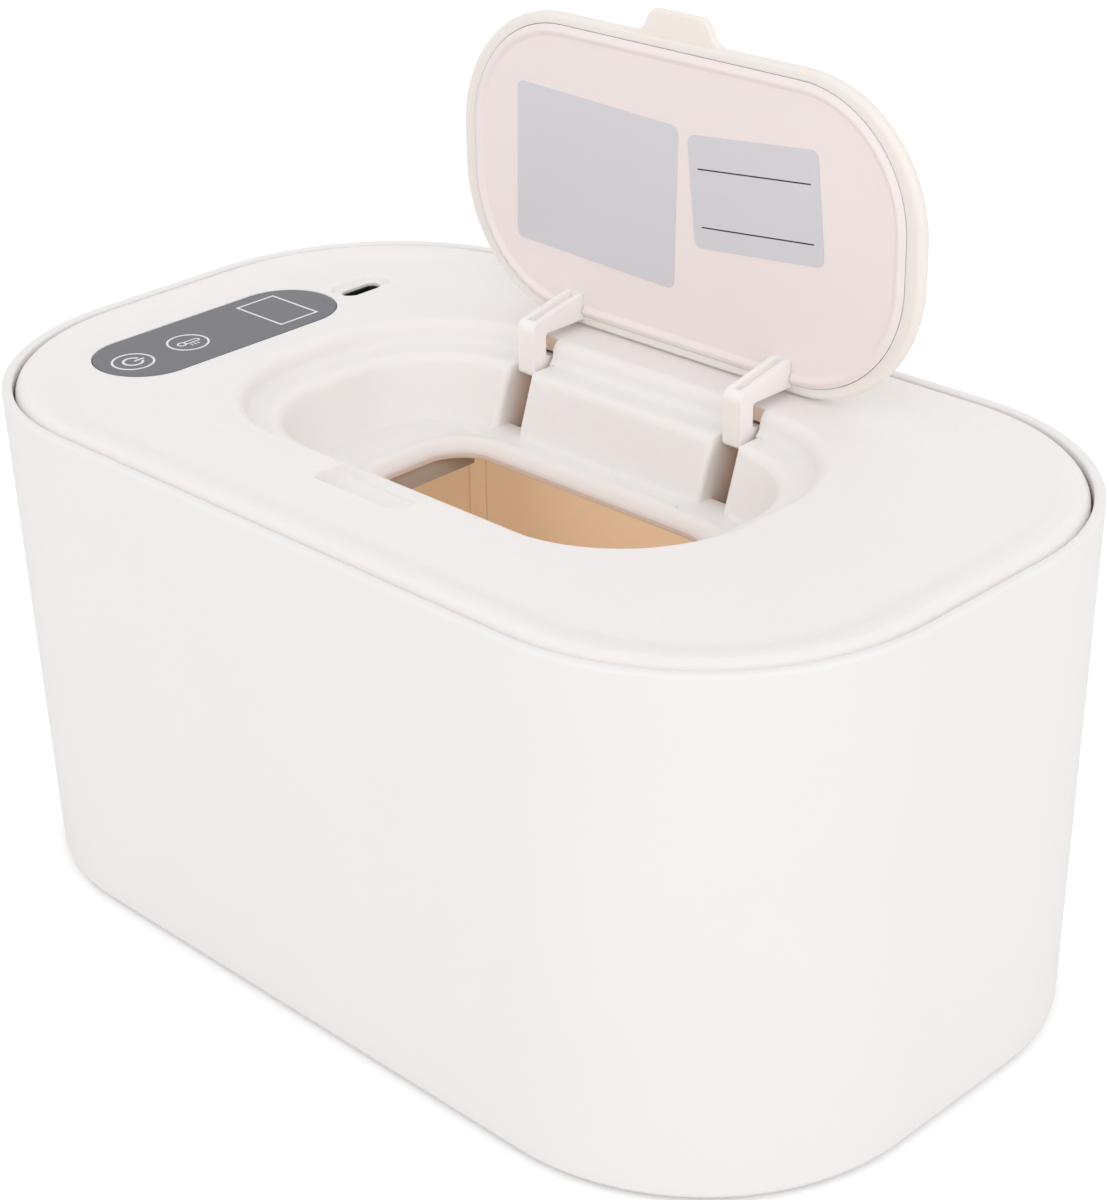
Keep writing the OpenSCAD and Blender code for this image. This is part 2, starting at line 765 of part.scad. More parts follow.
module usb_board() {
    color(board_green) at_usb() difference() {
        slab(usb_board_z - board_t, usb_board_z) rounded(usb_board_size[0], usb_board_size[1], 1.5);
        for (sx = [-1, 1]) translate([sx * usb_post_x, 0, usb_board_z - 3])
            cylinder(r = board_screw_r + 0.15, h = 5);
    }
}

module board_screws() {
    color(steel) {
        at_board_posts() translate([0, 0, board_z - board_t])
            screw(board_screw_r - eps, board_screw_l);
        at_usb_posts() translate([0, 0, usb_board_z - board_t])
            screw(board_screw_r - eps, board_screw_l);
    }
}

spring_r = 2.6;
spring_wire_r = 0.35;
spring_turns = 4;
spring_steps = 14;           // rings in each turn
spring_sides = 6;

// Coil of round wire standing on z = 0, drawn as one tube
module coil(height) {
    rings = spring_turns * spring_steps;
    climb = height - 2 * spring_wire_r;
    points = [for (i = [0:rings], s = [0:spring_sides - 1])
        let (turn = 360 * i / spring_steps,
             side = 360 * s / spring_sides,
             reach = spring_r + spring_wire_r * cos(side))
        [reach * cos(turn), reach * sin(turn),
         spring_wire_r + climb * i / rings + spring_wire_r * sin(side)]];
    sides = [for (i = [0:rings - 1], s = [0:spring_sides - 1])
        let (t = (s + 1) % spring_sides, lo = i * spring_sides, hi = lo + spring_sides)
        each [[lo + s, lo + t, hi + t], [lo + s, hi + t, hi + s]]];
    polyhedron(points, concat(
        [[for (s = [spring_sides - 1:-1:0]) s]],
        sides,
        [[for (s = [0:spring_sides - 1]) rings * spring_sides + s]]), convexity = 8);
}

module touch_springs() {
    color(steel) at_lens() for (p = [power_key_at, heat_key_at])
        translate([p[0], p[1], board_z]) coil(lens_rest_z - board_z - 0.05);
}

usb_mouth_z = usb_recess_z - 0.5;
usb_shell_t = 0.3;
usb_tongue_t = 0.7;
usb_tongue_l = 6.6;

module usb_socket() {
    color(steel) at_usb() slab(usb_board_z, usb_mouth_z) difference() {
        stadium(usb_shell_w, usb_shell_l);
        stadium(usb_shell_w - 2 * usb_shell_t, usb_shell_l - 2 * usb_shell_t);
    }
}

module usb_tongue() {
    color([0.1, 0.1, 0.11]) at_usb() {
        slab(usb_board_z, usb_board_z + 2)
            stadium(usb_shell_w - 2 * usb_shell_t - 2 * eps, usb_shell_l - 2 * usb_shell_t - 2 * eps);
        slab(usb_board_z + 1, usb_mouth_z - 0.6) square([usb_tongue_t, usb_tongue_l], center = true);
    }
}

module power_leads() {
    low = usb_board_z - board_t;
    color([0.15, 0.15, 0.16]) at_usb() for (sx = [-1, 1])
        wire([[sx * 2.5, -5, low], [sx * 2.5, -5, low - 1.6], [sx * 2.5, -12.6, low - 1.6],
              [sx * 2.5, -12.6, board_z - board_t]], 0.6);
}

// ---- Hinge and lid

knuckle_r = 3.1;
arm_reach = 10;              // pivot to the front of the upright leg
arm_leg_t = 3.4;
arm_bar_z = 9.3;             // pivot to the underside of the bar
arm_web_t = 1.6;
arm_flange_t = 1.2;
arm_front_z = 11.8;          // top of the flanges over the leg
arm_root_z = 14.6;           // top of the flanges at the lid
hook_low = 1.3;
hook_high = 4.6;
arm_foot_w = 2.4;
lid_plane = lid_under_z - pivot_z;
panel_t = 1.2;

module along_x(w) {
    rotate([90, 0, 90]) linear_extrude(w, center = true) children();
}

module hinge_pins() {
    color(steel) at_hinges() translate([0, pivot_y, pivot_z]) rotate([0, 90, 0]) {
        cylinder(r = pin_r, h = slot_w + 2 * ear_t, center = true);
        translate([0, 0, (slot_w + 2 * ear_t) / 2]) cylinder(r = pin_r + 0.8, h = 0.8);
    }
}

// Goose-neck arm, drawn round its pivot with the lid upright
module hinge_arm() {
    leg_back = arm_leg_t - arm_reach;
    difference() {
        union() {
            along_x(arm_w) polygon([
                [-arm_reach, hook_low + 0.6], [-arm_reach, arm_bar_z + 1],
                [0.8 - arm_reach, arm_bar_z + arm_web_t], [lid_plane, arm_bar_z + arm_web_t],
                [lid_plane, arm_bar_z], [leg_back, arm_bar_z], [leg_back, hook_high],
                [-0.4, knuckle_r], [-1.5, -knuckle_r + 0.4], [0.6 - arm_reach, hook_low]]);
            for (sx = [-1, 1]) translate([sx * (arm_w - arm_flange_t) / 2, 0, 0])
                along_x(arm_flange_t) polygon([
                    [-arm_reach, arm_bar_z], [-arm_reach, arm_front_z - 1],
                    [0.9 - arm_reach, arm_front_z], [lid_plane, arm_root_z],
                    [lid_plane, arm_bar_z]]);
            rotate([0, 90, 0]) cylinder(r = knuckle_r, h = arm_w, center = true);
            // foot that sits in the lid's inner panel
            translate([-arm_foot_w / 2, lid_plane - 0.5, arm_bar_z + 2])
                cube([arm_foot_w, panel_t + 0.5, arm_root_z - arm_bar_z - 2.4]);
        }
        rotate([0, 90, 0]) cylinder(r = pin_r + pin_clear, h = arm_w + 2, center = true);
    }
}

module swing(angle) {
    translate([0, pivot_y, pivot_z]) rotate([-angle, 0, 0]) children();
}

module hinge_arm_left() {
    color(cream) translate([-arm_x, 0, 0]) swing(lid_angle - 90) hinge_arm();
}

module hinge_arm_right() {
    color(cream) translate([arm_x, 0, 0]) swing(lid_angle - 90) hinge_arm();
}

// The lid's pieces are drawn closed, round their own middle, and then swung open
module lid_frame() {
    swing(lid_angle) translate([0, -lid_shift - pivot_y, -pivot_z]) children();
}

tab_root_w = 18.4;
tab_tip_x = 5.2;
tab_tip_r = 1.5;

module lid_outer() {
    color(cream) lid_frame() {
        loft([
            bead_ring(-0.1, lid_top_z - 1.6),
            bead_ring(-0.1, lid_under_z),
            lid_ring(1.2, lid_under_z),
            lid_ring(0.55, lid_under_z + 0.2),
            lid_ring(0.15, lid_under_z + 0.6),
            lid_ring(0, lid_under_z + 1.2),
            lid_ring(0.15, lid_under_z + 1.9),
            lid_ring(0.55, lid_under_z + 2.6),
            lid_ring(1.2, lid_top_z - 0.3),
            lid_ring(2.2, lid_top_z)]);
        slab(lid_under_z + 0.4, lid_under_z + 2) hull() {
            translate([0, 0.6 - lid_d / 2]) square([tab_root_w, 0.8], center = true);
            for (sx = [-1, 1]) translate([sx * tab_tip_x, tab_tip_r - lid_d / 2 - tab_len])
                circle(tab_tip_r);
        }
    }
}

module lid_inner_panel() {
    color(cream) lid_frame() difference() {
        loft([
            bead_ring(1.8, lid_under_z),
            bead_ring(1.4, lid_under_z - 0.15),
            bead_ring(1.1, lid_under_z - bead_h + 0.15),
            bead_ring(0.85, lid_under_z - bead_h),
            bead_ring(0.55, lid_under_z - bead_h),
            bead_ring(0.3, lid_under_z - bead_h + 0.15),
            bead_ring(0.05, lid_under_z),
            bead_ring(0, lid_under_z + panel_t)]);
        // the bead breaks at the hinge arms, whose feet pass through the panel
        translate([0, lid_shift, 0]) at_hinges() {
            translate([-arm_w / 2 - 0.05, 20, lid_under_z - 2]) cube([arm_w + 0.1, 12, 2]);
            translate([-arm_foot_w / 2 - 0.05, pivot_y - arm_root_z + 0.35, lid_under_z - 1])
                cube([arm_foot_w + 0.1, arm_root_z - arm_bar_z - 2.3, 4]);
        }
    }
}

label_t = 0.15;
module label(at, size, angle) {
    color([0.8, 0.79, 0.81]) lid_frame()
        slab(lid_under_z - label_t, lid_under_z)
            translate(at) rotate(angle) rounded(size[0], size[1], 1.6);
}

module label_large() {
    label([-20.7, 0.55], [41.6, 31.8], 1.9);
}

module label_small() {
    label([19.3, -4.65], [30.9, 21.3], -5.8);
}

outer_shell();
inner_tub();
insulation_sleeve();
insulation_pad();
tub_screws();
rubber_feet();
top_cover();
cover_seal();
under_plate();
under_plate_screws();
heater_plate();
heating_film();
thermal_fuse();
ntc_sensor();
heater_leads();
sensor_leads();
control_lens();
key_symbols();
display_module();
control_board();
board_screws();
touch_springs();
usb_socket();
usb_tongue();
usb_board();
power_leads();
hinge_pins();
lid_outer();
lid_inner_panel();
hinge_arm_left();
hinge_arm_right();
label_large();
label_small();
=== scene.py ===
import json
import math

import bmesh
import bpy
from mathutils import Matrix, Vector


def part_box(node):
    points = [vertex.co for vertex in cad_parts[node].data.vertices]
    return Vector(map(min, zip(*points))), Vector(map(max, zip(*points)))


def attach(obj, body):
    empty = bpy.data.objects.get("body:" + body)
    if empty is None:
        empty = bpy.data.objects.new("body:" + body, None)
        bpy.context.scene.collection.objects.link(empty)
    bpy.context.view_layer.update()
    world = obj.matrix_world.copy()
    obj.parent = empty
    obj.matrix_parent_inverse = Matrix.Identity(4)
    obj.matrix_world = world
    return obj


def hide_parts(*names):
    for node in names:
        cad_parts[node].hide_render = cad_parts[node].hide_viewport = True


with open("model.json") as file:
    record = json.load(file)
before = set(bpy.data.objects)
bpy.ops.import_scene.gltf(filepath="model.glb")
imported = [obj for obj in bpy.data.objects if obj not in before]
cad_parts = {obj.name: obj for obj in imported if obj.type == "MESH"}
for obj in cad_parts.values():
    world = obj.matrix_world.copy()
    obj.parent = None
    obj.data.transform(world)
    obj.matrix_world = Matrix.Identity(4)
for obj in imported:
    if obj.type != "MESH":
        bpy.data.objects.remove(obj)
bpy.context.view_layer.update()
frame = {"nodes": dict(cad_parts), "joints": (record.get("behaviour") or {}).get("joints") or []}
mm = 0.001
print("frame loaded:", len(frame["nodes"]), "nodes")


def link(name, data):
    made = bpy.data.objects.new(name, data)
    bpy.context.scene.collection.objects.link(made)
    return made


def meshObject(name, bm):
    mesh = bpy.data.meshes.new(name)
    bm.to_mesh(mesh)
    bm.free()
    return link(name, mesh)


def addNode(tree, kind, values=None, **settings):
    node = tree.nodes.new("ShaderNode" + kind)
    for key, value in settings.items():
        setattr(node, key, value)
    for key, value in (values or {}).items():
        node.inputs[key].default_value = value
    return node


def join(tree, *pairs):
    # each pair is an output socket and the input socket that it feeds
    for source, target in pairs:
        tree.links.new(source, target)


shellLow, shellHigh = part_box("outer_shell")
coverLow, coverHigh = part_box("top_cover")
lidHinge = next(j for j in frame["joints"] if j["name"] == "lid_hinge")
lidPivot = Vector(lidHinge["pos_m"])


# camera

cameraView = {
    "place": (319.35, -311.49, 290.15),   # mm, from the middle of the footprint
    "azimuth": 46.339,
    "elevation": 26.891,
    "roll": -1.834,
    "lens": 80.01,
    "sensor": 36.0,
    "shiftX": 0.0454,
}


def makeCamera(spec):
    azimuth, elevation, roll = (math.radians(spec[k]) for k in ("azimuth", "elevation", "roll"))
    back = Vector((math.sin(azimuth) * math.cos(elevation),
                   -math.cos(azimuth) * math.cos(elevation),
                   math.sin(elevation)))
    right = Vector((math.cos(azimuth), math.sin(azimuth), 0))
    up = back.cross(right)
    cameraX = right * math.cos(roll) + up * math.sin(roll)
    cameraY = up * math.cos(roll) - right * math.sin(roll)
    data = bpy.data.cameras.new("camera")
    data.sensor_width = spec["sensor"]
    data.lens = spec["lens"]
    data.shift_x = spec["shiftX"]
    data.clip_start = 0.01
    data.clip_end = 20
    camera = link("camera", data)
    turn = Matrix((cameraX, cameraY, back)).transposed()
    camera.matrix_world = Matrix.Translation(Vector(spec["place"]) * mm) @ turn.to_4x4()
    bpy.context.scene.camera = camera


makeCamera(cameraView)


# light, floor and background

studio = {
    "worldStrength": 0.9,
    "worldColour": (1.0, 0.99, 0.985),
    "floorColour": (0.93, 0.93, 0.93),
    "floorSize": 30.0,
    "floorLift": 0.2,           # own light of the floor where the camera sees it
}
middleHeight = (0, 0, 0.06)
lamps = {
    "keyLamp": {"place": (0.45, -1.3, 0.9), "aim": middleHeight, "size": 1.5, "power": 2.7},
    "fillLamp": {"place": (1.45, -0.3, 1.0), "aim": middleHeight, "size": 1.5, "power": 3.8},
    # stands under the opening, unseen, and lights the tub
    "tubLamp": {"place": (-0.02, 0.0, 0.0764), "aim": (-0.02, 0.0, 0.02), "size": 0.085,
                "power": 0.039, "hidden": True},
}


def nodeTree(owner):
    owner.use_nodes = True
    owner.node_tree.nodes.clear()
    return owner.node_tree


def setWorld(spec):
    # the camera sees plain white, and the object is lit by the world's own colour
    world = bpy.data.worlds.new("studio")
    bpy.context.scene.world = world
    tree = nodeTree(world)
    out = addNode(tree, "OutputWorld")
    mix = addNode(tree, "MixShader")
    light = addNode(tree, "Background", {"Color": (*spec["worldColour"], 1),
                                         "Strength": spec["worldStrength"]})
    seen = addNode(tree, "Background", {"Color": (1, 1, 1, 1), "Strength": 1.0})
    rays = addNode(tree, "LightPath")
    both = addNode(tree, "Math", operation="MAXIMUM")
    join(tree, (rays.outputs["Is Camera Ray"], both.inputs[0]),
         (rays.outputs["Is Transmission Ray"], both.inputs[1]),
         (both.outputs[0], mix.inputs[0]), (light.outputs[0], mix.inputs[1]),
         (seen.outputs[0], mix.inputs[2]), (mix.outputs[0], out.inputs["Surface"]))


def addLamp(name, spec):
    data = bpy.data.lights.new(name, "AREA")
    data.size = spec["size"]
    data.energy = spec["power"]
    lamp = link(name, data)
    lamp.location = spec["place"]
    aim = Vector(spec["aim"]) - lamp.location
    if spec.get("hidden"):
        lamp.visible_camera = lamp.visible_glossy = lamp.visible_transmission = False
    lamp.rotation_euler = aim.to_track_quat("-Z", "Y").to_euler()


def addFloor(spec):
    bm = bmesh.new()
    bmesh.ops.create_grid(bm, x_segments=1, y_segments=1, size=spec["floorSize"] / 2)
    floor = meshObject("floor", bm)
    material = bpy.data.materials.new("floor")
    tree = nodeTree(material)
    out = addNode(tree, "OutputMaterial")
    diffuse = addNode(tree, "BsdfDiffuse", {"Color": (*spec["floorColour"], 1)})
    lift = addNode(tree, "Emission")
    rays = addNode(tree, "LightPath")
    seen = addNode(tree, "Math", {1: spec["floorLift"]}, operation="MULTIPLY")
    both = addNode(tree, "AddShader")
    join(tree, (rays.outputs["Is Camera Ray"], seen.inputs[0]),
         (seen.outputs[0], lift.inputs["Strength"]), (diffuse.outputs[0], both.inputs[0]),
         (lift.outputs[0], both.inputs[1]), (both.outputs[0], out.inputs["Surface"]))
    floor.data.materials.append(material)


bpy.context.scene.view_settings.view_transform = "Standard"
setWorld(studio)
for lampName, lampSpec in lamps.items():
    addLamp(lampName, lampSpec)
addFloor(studio)
print("camera and studio made")


# shaping helpers: everything is shaped in millimetres, then brought to metres

cornerSteps = 24            # faces round each corner of a rounded outline
bevelSteps = 5              # faces across each rounded ridge or groove
ridgeLimit = 6.0            # widest rounding that a ring may ask for
mergeWithin = 0.002         # corners closer than this become one
shortestEdge = 0.001


def startRing(bm, ring):
    # a flat sheet whose four corners are rounded
    halfW, halfD, radius, z = ring[:4]
    made = bmesh.ops.create_grid(bm, x_segments=1, y_segments=1, size=1.0)
    bmesh.ops.scale(bm, vec=(halfW, halfD, 1), verts=made["verts"])
    bmesh.ops.translate(bm, vec=(0, 0, z), verts=made["verts"])
    bmesh.ops.bevel(bm, geom=made["verts"], offset=radius, offset_type="OFFSET",
                    segments=cornerSteps, profile=0.5, affect="VERTICES", material=-1)
    return list(bm.edges)


def middleX(ring):
    return ring[5] if len(ring) > 5 else 0.0


def growRing(bm, edges, old, new):
    # the outline is drawn out to the next ring, corner by corner
    made = bmesh.ops.extrude_edge_only(bm, edges=edges)["geom"]
    share = new[2] / old[2]
    for v in (g for g in made if isinstance(g, bmesh.types.BMVert)):
        across = v.co.x - middleX(old)
        sideX, sideY = math.copysign(1, across), math.copysign(1, v.co.y)
        v.co.x = (middleX(new) + sideX * (new[0] - new[2])
                  + (across - sideX * (old[0] - old[2])) * share)
        v.co.y = sideY * (new[1] - new[2]) + (v.co.y - sideY * (old[1] - old[2])) * share
        v.co.z = new[3]
    return [g for g in made if isinstance(g, bmesh.types.BMEdge)]


def ringObject(name, rings, loop=False):
    # rings are (half length, half depth, corner radius, height, rounding, shift along x)
    bm = bmesh.new()
    weight = bm.edges.layers.float.new("bevel_weight_edge")
    edges = startRing(bm, rings[0])
    first = list(edges)
    if loop:
        bmesh.ops.delete(bm, geom=list(bm.faces), context="FACES_ONLY")
    for e in edges:
        e[weight] = rings[0][4] / ridgeLimit
    for old, new in zip(rings, rings[1:]):
        edges = growRing(bm, edges, old, new)
        for e in edges:
            e[weight] = new[4] / ridgeLimit
    if loop:
        bmesh.ops.bridge_loops(bm, edges=first + edges)
    else:
        bmesh.ops.contextual_create(bm, geom=edges)
    bmesh.ops.recalc_face_normals(bm, faces=bm.faces)
    piece = meshObject(name, bm)
    bevel = piece.modifiers.new("ridges", "BEVEL")
    bevel.limit_method = "WEIGHT"
    bevel.width = ridgeLimit
    bevel.segments = bevelSteps
    bevel.use_clamp_overlap = False
    return piece


def applyModifiers(piece):
    graph = bpy.context.evaluated_depsgraph_get()
    mesh = bpy.data.meshes.new_from_object(piece.evaluated_get(graph))
    piece.modifiers.clear()
    piece.data = mesh


def combine(piece, others, operation):
    for other in others:
        applyModifiers(other)
    for other in others:
        cut = piece.modifiers.new("cut", "BOOLEAN")
        cut.operation = operation
        cut.solver = "EXACT"
        cut.object = other
    applyModifiers(piece)
    for other in others:
        bpy.data.objects.remove(other)


def place(piece, x=0.0, y=0.0, z=0.0):
    piece.data.transform(Matrix.Translation((x, y, z)))
    return piece


def block(name, low, high, rounding=0.0):
    bm = bmesh.new()
    bmesh.ops.create_cube(bm, size=1.0)
    size = Vector(high) - Vector(low)
    bmesh.ops.scale(bm, vec=size, verts=bm.verts)
    bmesh.ops.translate(bm, vec=(Vector(high) + Vector(low)) / 2, verts=bm.verts)
    if rounding:
        bmesh.ops.bevel(bm, geom=bm.edges, offset=rounding, offset_type="OFFSET", segments=3,
                        profile=0.5, affect="EDGES", material=-1)
    return meshObject(name, bm)


def stadium(name, halfW, halfL, low, high, rounding=0.0, flat=0.01):
    # flat is what the corner radius lacks to the half width, so that no edge has no length
    return ringObject(name, [(halfW, halfL, halfW - flat, low, 0),
                             (halfW, halfL, halfW - flat, high, rounding)])


def upright(name, radius, low, high):
    return stadium(name, radius, radius, low, high)


def pocket(name, halfW, halfD, radius, floorZ, mouthZ, flare, foot=0.3):
    # a cutter whose mouth opens in a quarter round, for a softened edge
    turns = [math.radians(a) for a in (0, 20, 40, 60, 75)]
    rings = [(halfW, halfD, radius, floorZ, foot)]
    for a in turns:
        out = flare * (1 - math.cos(a))
        rings.append((halfW + out, halfD + out, radius + out,
                      mouthZ - flare + flare * math.sin(a), 0))
    # above the mouth the cutter widens, well clear of the part
    out = 2 * flare
    for z in (mouthZ + 0.35 * flare, mouthZ + 3):
        rings.append((halfW + out, halfD + out, radius + out, z, 0))
    return ringObject(name, rings)


axisTurns = {
    "x": Matrix(((0, 0, 1), (1, 0, 0), (0, 1, 0))),   # outline in y and z, drawn out along x
    "y": Matrix(((1, 0, 0), (0, 0, 1), (0, 1, 0))),   # outline in x and z, drawn out along y
    "z": Matrix.Identity(3),
}


def outlineSolid(name, corners, axis, low, high, lean=(0.0, 0.0)):
    # corners are (first, second, rounding); lean shifts the far end of the solid sideways
    bm = bmesh.new()
    points = [bm.verts.new((first, second, low)) for first, second, rounding in corners]
    bm.faces.new(points)
    for point, (first, second, rounding) in zip(points, corners):
        if rounding:
            bmesh.ops.bevel(bm, geom=[point], offset=rounding, offset_type="OFFSET",
                            segments=bevelSteps, profile=0.5, affect="VERTICES", material=-1)
    drawn = bmesh.ops.extrude_face_region(bm, geom=list(bm.faces))["geom"]
    far = [g for g in drawn if isinstance(g, bmesh.types.BMVert)]
    bmesh.ops.translate(bm, vec=(*lean, high - low), verts=far)
    bmesh.ops.transform(bm, matrix=axisTurns[axis], verts=bm.verts)
    bmesh.ops.recalc_face_normals(bm, faces=bm.faces)
    return meshObject(name, bm)


def roundBar(name, radius, length):
    # a round bar along x
    bm = bmesh.new()
    bmesh.ops.create_cone(bm, cap_ends=True, segments=64, radius1=radius, radius2=radius,
                          depth=length)
    bmesh.ops.rotate(bm, cent=(0, 0, 0), matrix=Matrix.Rotation(math.radians(90), 3, "Y"),
                     verts=bm.verts)
    return meshObject(name, bm)


def softenEdges(piece, width, angle=40):
    # small radii on every crease of a joined solid
    bevel = piece.modifiers.new("radii", "BEVEL")
    bevel.limit_method = "ANGLE"
    bevel.angle_limit = math.radians(angle)
    bevel.width = width
    bevel.segments = 3
    applyModifiers(piece)


def finishPiece(piece, body, node, material, sharpAngle=35):
    # doubles go, millimetres become metres, and creases keep their edge
    applyModifiers(piece)
    bm = bmesh.new()
    bm.from_mesh(piece.data)
    bmesh.ops.remove_doubles(bm, verts=bm.verts, dist=mergeWithin)
    bmesh.ops.dissolve_degenerate(bm, edges=bm.edges, dist=shortestEdge)
    bmesh.ops.scale(bm, vec=(mm, mm, mm), verts=bm.verts)
    bm.to_mesh(piece.data)
    bm.free()
    for face in piece.data.polygons:
        face.use_smooth = True
    piece.data.set_sharp_from_angle(angle=math.radians(sharpAngle))
    normals = piece.modifiers.new("evenShading", "WEIGHTED_NORMAL")
    normals.keep_sharp = True
    piece.data.materials.clear()
    piece.data.materials.append(material)
    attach(piece, body)
    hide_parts(node)
    print("finished", piece.name, len(piece.data.polygons), "faces")


# finishes

def startFinish(name, metallic=0.0):
    # a principled shader, and the object coordinates that its textures read
    material = bpy.data.materials.new(name)
    tree = nodeTree(material)
    shader = addNode(tree, "BsdfPrincipled", {"Metallic": metallic})
    out = addNode(tree, "OutputMaterial")
    join(tree, (shader.outputs[0], out.inputs["Surface"]))
    return material, tree, shader, addNode(tree, "TexCoord").outputs["Object"]


def tintBetween(tree, shader, factor, low, high):
    mix = addNode(tree, "Mix", data_type="RGBA")
    mix.inputs[6].default_value = (*low, 1)
    mix.inputs[7].default_value = (*high, 1)
    join(tree, (factor, mix.inputs[0]))
    join(tree, (mix.outputs[2], shader.inputs["Base Color"]))
    return mix


def roughBetween(tree, shader, factor, low, high):
    span = addNode(tree, "MapRange", {"To Min": low, "To Max": high})
    join(tree, (factor, span.inputs["Value"]))
    join(tree, (span.outputs[0], shader.inputs["Roughness"]))


def bumpFrom(tree, shader, height, strength, depth):
    bump = addNode(tree, "Bump", {"Strength": strength, "Distance": depth * mm})
    join(tree, (height, bump.inputs["Height"]))
    join(tree, (bump.outputs[0], shader.inputs["Normal"]))


def plasticFinish(name, colour, rough=0.42, grain=0.35, grainDepth=0.012, mottle=0.012, glow=0.0):
    # moulded plastic: fine spark-eroded grain, a faint cloudiness and uneven gloss
    material, tree, shader, where = startFinish(name)
    if glow:
        shader.inputs["Subsurface Weight"].default_value = glow
        shader.inputs["Subsurface Radius"].default_value = (1.0, 0.5, 0.3)
        shader.inputs["Subsurface Scale"].default_value = 3 * mm
    cloud = addNode(tree, "TexNoise", {"Scale": 45, "Detail": 3})
    grains = addNode(tree, "TexNoise", {"Scale": 1 / (grain * mm), "Detail": 2})
    for texture in (cloud, grains):
        join(tree, (where, texture.inputs["Vector"]))
    tintBetween(tree, shader, cloud.outputs["Fac"], [c * (1 - mottle) for c in colour],
                [min(1, c * (1 + mottle)) for c in colour])
    roughBetween(tree, shader, cloud.outputs["Fac"], rough - 0.04, rough + 0.04)
    bumpFrom(tree, shader, grains.outputs["Fac"], 0.35, grainDepth)
    return material


def withinBand(tree, value, middle, half):
    # one where the value lies within half of the middle, else nothing; both in millimetres
    band = addNode(tree, "Math", {1: middle * mm, 2: half * mm}, operation="COMPARE")
    join(tree, (value, band.inputs[0]))
    return band.outputs[0]


def product(tree, first, *others):
    for other in others:
        times = addNode(tree, "Math", operation="MULTIPLY")
        join(tree, (first, times.inputs[0]), (other, times.inputs[1]))
        first = times.outputs[0]
    return first


def splitPlace(tree):
    split = addNode(tree, "SeparateXYZ")
    join(tree, (addNode(tree, "TexCoord").outputs["Object"], split.inputs[0]))
    return split.outputs


def layPaintedShade(material, paintedShade, share):
    # lays painted shade over a finished material, as strong as the share
    tree = material.node_tree
    shader = next(n for n in tree.nodes if n.type == "BSDF_PRINCIPLED")
    plain = shader.inputs["Base Color"].links[0].from_socket
    mix = addNode(tree, "Mix", data_type="RGBA")
    mix.inputs[7].default_value = (*paintedShade, 1)
    join(tree, (share, mix.inputs[0]), (plain, mix.inputs[6]),
         (mix.outputs[2], shader.inputs["Base Color"]))


def paintSlotShade(material, spec):
    # painted shade: brown laid into both hinge slots, growing with the depth behind the well's
    # leaning wall
    tree = material.node_tree
    x, y, z = splitPlace(tree)
    side = addNode(tree, "Math", operation="ABSOLUTE")
    lean, lowZ, highZ = spec["lean"], spec["lowZ"], spec["highZ"]
    slope = addNode(tree, "Math", {1: -lean, 2: lean * lowZ * mm}, operation="MULTIPLY_ADD")
    behind = addNode(tree, "Math", operation="ADD")
    depth = addNode(tree, "MapRange", {"From Min": spec["frontY"] * mm,
                                       "From Max": (spec["frontY"] + spec["growth"]) * mm})
    join(tree, (x, side.inputs[0]), (z, slope.inputs[0]), (y, behind.inputs[0]),
         (slope.outputs[0], behind.inputs[1]), (behind.outputs[0], depth.inputs["Value"]))
    layPaintedShade(material, spec["paintedShade"], product(
        tree, withinBand(tree, side.outputs[0], spec["middleX"], spec["halfX"]),
        withinBand(tree, z, (lowZ + highZ) / 2, (highZ - lowZ) / 2),
        withinBand(tree, y, spec["middleY"], spec["halfY"]), depth.outputs[0]))


def paintLipShade(material, spec):
    # painted shade and painted reflection: the rolled lip of the opening is given the tub's colour
    # towards its lower edge
    tree = material.node_tree
    x, y, z = splitPlace(tree)
    fall = addNode(tree, "MapRange", {"From Min": spec["highZ"] * mm, "From Max": spec["lowZ"] * mm,
                                      "To Max": spec["strength"]})
    join(tree, (z, fall.inputs["Value"]))
    layPaintedShade(material, spec["paintedShade"], product(
        tree, withinBand(tree, x, spec["middleX"], spec["halfX"]),
        withinBand(tree, y, 0, spec["halfY"]), fall.outputs[0]))


def metalFinish(name, colour, rough=0.3, brush=(1, 1, 1), grain=0.25):
    # drawn or turned metal: fine lines, stretched along the brushing
    material, tree, shader, where = startFinish(name, metallic=1.0)
    stretch = addNode(tree, "Mapping", {"Scale": brush})
    lines = addNode(tree, "TexNoise", {"Scale": 1 / (grain * mm), "Detail": 3})
    join(tree, (where, stretch.inputs["Vector"]))
    join(tree, (stretch.outputs[0], lines.inputs["Vector"]))
    tintBetween(tree, shader, lines.outputs["Fac"], [c * 0.93 for c in colour], colour)
    roughBetween(tree, shader, lines.outputs["Fac"], rough - 0.08, rough + 0.08)
    bumpFrom(tree, shader, lines.outputs["Fac"], 0.25, 0.01)
    return material


def foamFinish(name, colour, cell=0.7):
    # closed cells that stand a little proud
    material, tree, shader, where = startFinish(name)
    cells = addNode(tree, "TexVoronoi", {"Scale": 1 / (cell * mm)})
    join(tree, (where, cells.inputs["Vector"]))
    tintBetween(tree, shader, cells.outputs["Distance"], colour, [c * 0.85 for c in colour])
    roughBetween(tree, shader, cells.outputs["Distance"], 0.75, 0.9)
    bumpFrom(tree, shader, cells.outputs["Distance"], 0.6, 0.15)
    return material


